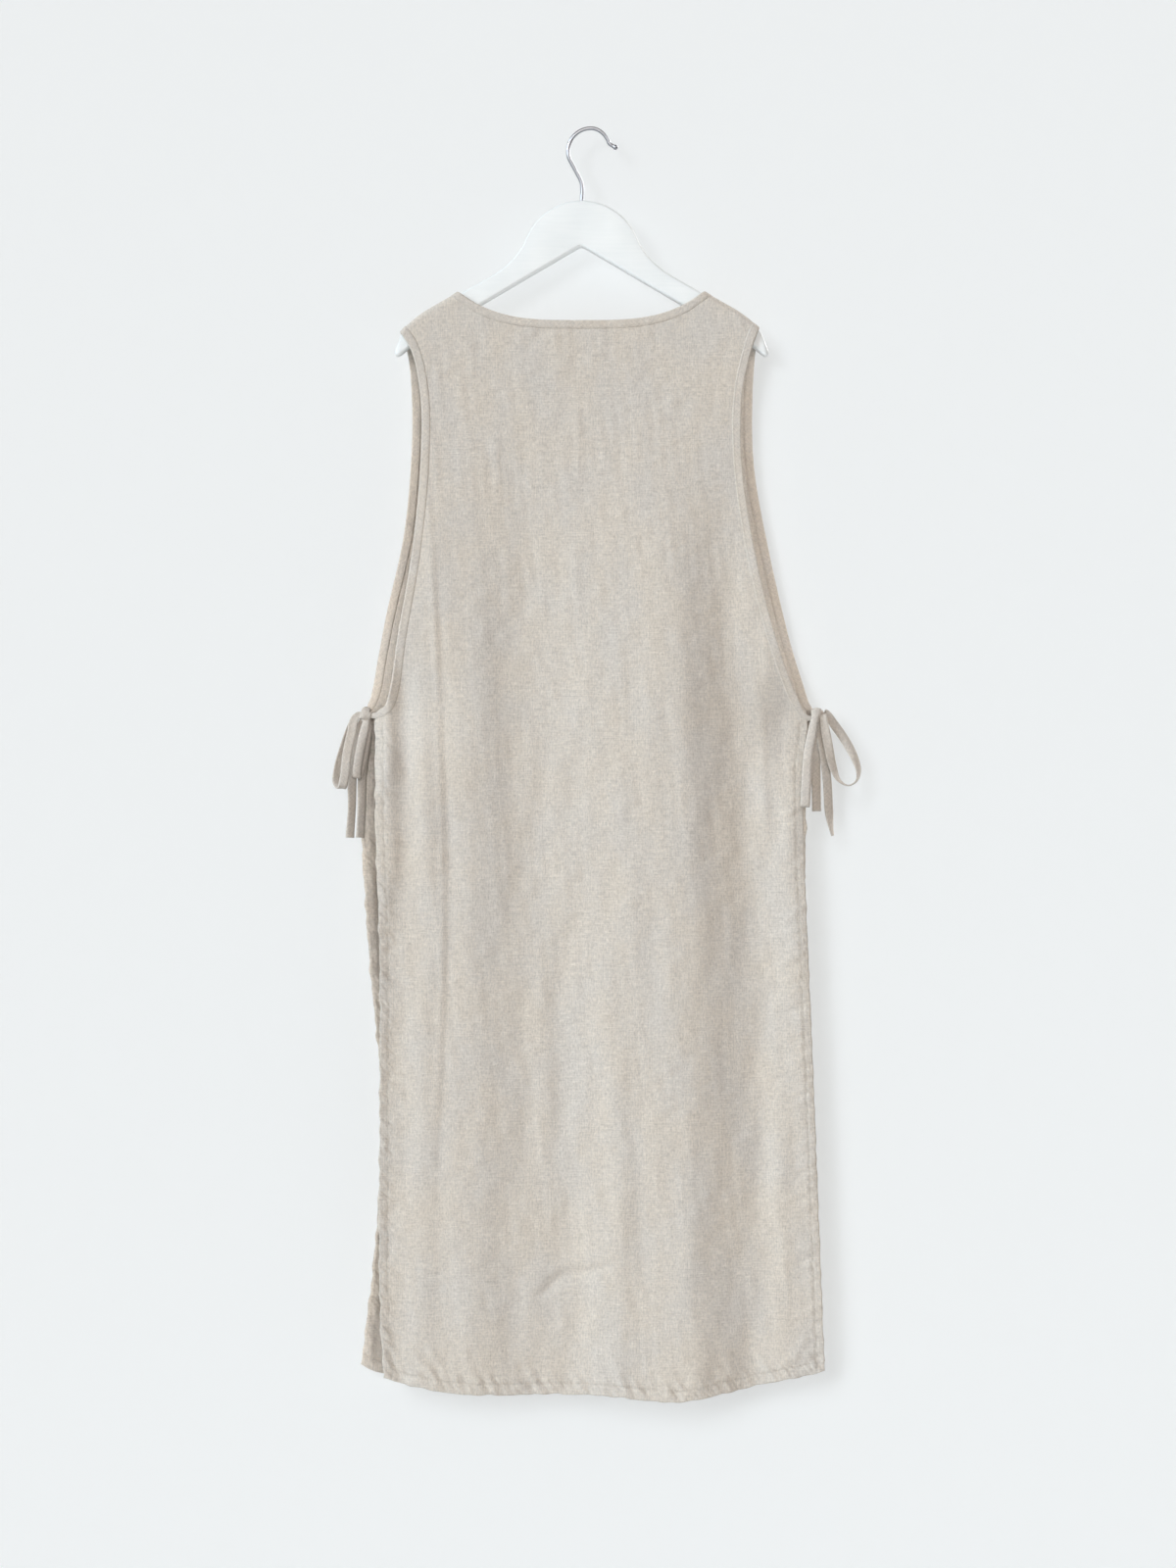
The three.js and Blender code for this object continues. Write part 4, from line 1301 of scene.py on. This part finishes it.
def linenWeaveGroup():
    # plain weave of uneven flax threads: upright and level threads pass over each other by turns; each
    # thread has its own shade along its length, with thick slubs here and there, and the cloth is faintly
    # mottled and, where it is gathered, crinkled; painted shade darkens the gaps between threads
    numbers = {"Threads": 1400.0, "Streaks": 1.0, "Slubs": 1.0, "Crinkle": 0.0}
    tree, given, u, v = newGroup("linenWeave", numbers, ("Shade", "Tint", "Height"))

    def noise(rateU, rateV, detail):
        # noise over the cloth's own two directions
        return noiseOver(tree, u, v, rateU, rateV, detail)

    wobble = times(tree, mathNode(tree, "SUBTRACT", noise(160.0, 160.0, 1.0), 0.5), 0.7)
    a = mathNode(tree, "ADD", times(tree, u, given["Threads"]), wobble)
    b = mathNode(tree, "ADD", times(tree, v, given["Threads"]), wobble)
    sineA, sineB = [mathNode(tree, "SINE", times(tree, thread, math.pi)) for thread in (a, b)]
    over = times(tree, sineA, sineB)
    warp = times(tree, mathNode(tree, "ABSOLUTE", sineA), mapRange(tree, over, -0.3, 0.3, 0.25, 1.0))
    weft = times(tree, mathNode(tree, "ABSOLUTE", sineB), mapRange(tree, over, -0.3, 0.3, 1.0, 0.25))
    knit = mathNode(tree, "MAXIMUM", warp, weft)
    warpShade = noiseOver(tree, a, v, 0.72, 34.0, 2.0)
    weftShade = noiseOver(tree, u, b, 34.0, 0.72, 2.0)
    warpBand, weftBand = noise(680.0, 230.0, 1.0), noise(150.0, 640.0, 1.0)
    slubLevel = mapRange(tree, noise(85.0, 900.0, 0.0), 0.76, 0.86, 0.0, 1.0)
    slubUpright = mapRange(tree, noise(900.0, 60.0, 0.0), 0.77, 0.87, 0.0, 1.0)
    slub = times(tree, mathNode(tree, "MAXIMUM", slubLevel, slubUpright), given["Slubs"])
    streak = weighted(tree, (warpShade, 0.35), (weftShade, 0.35), (warpBand, 0.6), (weftBand, 0.36),
                      (noise(560.0, 480.0, 2.0), 0.4))
    streak = times(tree, mathNode(tree, "SUBTRACT", streak, 1.03), given["Streaks"])
    tint = weighted(tree, (noise(24.0, 13.0, 3.0), 0.7), (warpBand, 0.3))
    sumUV, differenceUV = mathNode(tree, "ADD", u, v), mathNode(tree, "SUBTRACT", u, v)
    slant = mathNode(tree, "SUBTRACT", noiseOver(tree, sumUV, differenceUV, 120.0, 45.0, 1.0), 0.5)
    gathers = times(tree, slant, given["Crinkle"])
    # painted shade: darker where the threads dip into the gaps between them
    knitShade = mapRange(tree, knit, 0.0, 0.9, 0.84, 1.06)
    feed(tree, tree.nodes.new("NodeGroupOutput"), {
        "Shade": weighted(tree, (knitShade, 1), (streak, 0.26), (slub, 0.1)),
        "Tint": mapRange(tree, tint, 0.3, 0.7, 0.0, 1.0),
        "Height": weighted(tree, (knit, 1), (slub, 0.6), (streak, 0.5), (gathers, 20.0)),
    })
    return tree


def grainGroup():
    # long fine grain with a soft unevenness, for brushed paint and drawn wire
    tree, given, u, v = newGroup("grain", {"Along": 12.0, "Across": 600.0}, ("Grain", "Cloud"))
    feed(tree, tree.nodes.new("NodeGroupOutput"), {
        "Grain": noiseOver(tree, u, v, given["Along"], given["Across"], 3.0),
        "Cloud": noiseOver(tree, u, v, 30.0, 30.0, 2.0),
    })
    return tree


weaveGroup = linenWeaveGroup()
grainNodes = grainGroup()

linens = {  # warmest and coolest colour, the weave's values, relief and how dark the painted shade along the stitch lines is
    "linen": {"warm": (0.657, 0.606, 0.535), "cool": (0.634, 0.602, 0.556),
              "Threads": 1400, "Streaks": 2.2, "Slubs": 1.0, "bump": 0.5, "seam": 0.85},
    "linenTape": {"warm": (0.652, 0.601, 0.532), "cool": (0.632, 0.598, 0.552),
                  "Threads": 1450, "Streaks": 1.9, "Slubs": 0.6, "bump": 0.5, "seam": 0.91},
    "linenTie": {"warm": (0.642, 0.593, 0.532), "cool": (0.625, 0.593, 0.549),
                 "Threads": 1450, "Streaks": 1.9, "Slubs": 0.6, "bump": 0.5, "seam": 0.86},
}
finishes = {  # darkest and palest colour
    "thread": ((0.55, 0.50, 0.44), (0.72, 0.67, 0.61)),
    "paint": ((0.79, 0.835, 0.845), (0.81, 0.852, 0.861)),
    "steel": ((0.40, 0.425, 0.465), (0.52, 0.545, 0.59)),
}


def clothMap(tree):
    # place on the flat cloth
    return addNode(tree, "UVMap", uv_map="cloth")[0]


def maskOf(tree, name):
    # mask painted on the mesh, nothing where it has none
    return addNode(tree, "Attribute", attribute_name=name)["Fac"]


def makeLinen(name, look):
    # woven linen: from cool to warm with the weave's tint, darkened by its shade and by painted shade
    # along the stitch lines
    material, tree, shader = blankMaterial(name)
    values = {label: look[label] for label in ("Threads", "Streaks", "Slubs")}
    values.update({"Place": clothMap(tree), "Crinkle": maskOf(tree, "crinkle")})
    woven = addNode(tree, "Group", values, node_tree=weaveGroup)
    mixed = {0: woven["Tint"], 6: (*look["cool"], 1), 7: (*look["warm"], 1)}  # factor and the two colours
    colour = addNode(tree, "Mix", mixed, data_type="RGBA")[2]
    # painted shade of the stitch grooves, read from the seam mask
    paintedSeamShade = mapRange(tree, maskOf(tree, "seam"), 0.0, 1.0, 1.0, look["seam"])
    shaded = {0: colour, "Scale": times(tree, woven["Shade"], paintedSeamShade)}
    feed(tree, shader, {
        "Base Color": addNode(tree, "VectorMath", shaded, operation="SCALE")[0],
        "Normal": bumpOf(tree, woven["Height"], look["bump"]),
        "Roughness": mapRange(tree, woven["Height"], 0.2, 1.2, 0.96, 0.82),
        "Specular IOR Level": 0.18,
        "Sheen Weight": 0.12,
        "Sheen Roughness": 0.6,
    })
    return material


def grained(tree, place, turn, along, across):
    # the grain's outputs over a place turned so that the grain runs along the piece
    turned = addNode(tree, "Mapping", {"Vector": place, "Rotation": turn})[0]
    return addNode(tree, "Group", {"Place": turned, "Along": along, "Across": across}, node_tree=grainNodes)


def makeThread():
    # spun thread a shade lighter than the cloth, unevenly dyed along its length
    material, tree, shader = blankMaterial("thread")
    noise = addNode(tree, "TexNoise", {"Vector": addNode(tree, "TexCoord")["Object"], "Scale": 400})[0]
    feed(tree, shader, {
        "Base Color": rampColour(tree, noise, *finishes["thread"]),
        "Roughness": 0.75,
        "Specular IOR Level": 0.3,
    })
    return material


def makePaint():
    # white satin paint on wood: faint grain under it and slight unevenness of gloss
    material, tree, shader = blankMaterial("paint")
    grain = grained(tree, addNode(tree, "TexCoord")["Object"], (math.radians(90), 0, 0), 25, 420)
    tone = mapRange(tree, grain["Grain"], 0.3, 0.7, 0.0, 1.0)
    feed(tree, shader, {
        "Base Color": rampColour(tree, tone, *finishes["paint"]),
        "Roughness": mapRange(tree, grain["Cloud"], 0.2, 0.8, 0.34, 0.5),
        "Normal": bumpOf(tree, grain["Grain"], 0.06),
    })
    return material


def makeSteel():
    # bright plated wire with faint draw lines along it
    material, tree, shader = blankMaterial("steel")
    grain = grained(tree, clothMap(tree), (0, 0, math.radians(90)), 40, 900)
    feed(tree, shader, {
        "Metallic": 1.0,
        "Base Color": rampColour(tree, grain["Grain"], *finishes["steel"]),
        "Roughness": mapRange(tree, grain["Cloud"], 0.2, 0.8, 0.34, 0.46),
    })
    return material


linenLooks = {name: makeLinen(name, look) for name, look in linens.items()}
thread, paint, steel = makeThread(), makePaint(), makeSteel()
print("materials")


def dress(piece, material, slot, *nodes):
    # finish a piece, let it ride with the apron and stand for its CAD nodes
    piece.data.materials.append(material)
    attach(piece, "root")
    if nodes:
        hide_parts(*nodes)


dress(hangerPiece, paint, "hanger_paint", "hanger_body")
dress(hookPiece, steel, "hook_steel", "hanger_hook")
for name, piece in panels.items():
    dress(piece, linenLooks["linen"], "linen", f"{name}_panel")
for (name, edge), (flat, piece) in tapes.items():
    node = f"{name}_neck_binding" if edge == "neck" else f"{name}_{edge}_armhole_binding"
    dress(piece, linenLooks["linenTape"], "linen_binding", node)
for piece in stitchPieces.values():
    dress(piece, thread, "linen_binding")
for piece in seamPieces:
    dress(piece, linenLooks["linenTape"], "linen")
for side, piece in knotPieces.items():
    dress(piece, linenLooks["linenTie"], "linen_binding", f"{side}_knot")
for name, (piece, line) in tiePieces.items():
    dress(piece, linenLooks["linenTie"], "linen_binding", f"{name}_loop", f"{name}_tail")
    side = name.split("_")[0]
frontPieces = [panels["front"], *(tapes["front", edge][1] for edge in edges)]
lampFor("inside", "receiver", frontPieces, "INCLUDE")
lampFor("edge", "receiver", frontPieces, "INCLUDE")
lampFor("key", "receiver", [wallSheet, *frontPieces], "EXCLUDE")
lampFor("backdrop", "blocker", [hangerPiece, hookPiece], "EXCLUDE")
for role in ("receiver", "blocker"):
    lampFor("lift", role, [hangerPiece], "INCLUDE")  # pale room's light under the hanger's arms
for name in panels:
    along = [tapes[name, edge][1] for edge in edges]
    along += [stitchPieces[name, face] for face in ("outer", "inner")]
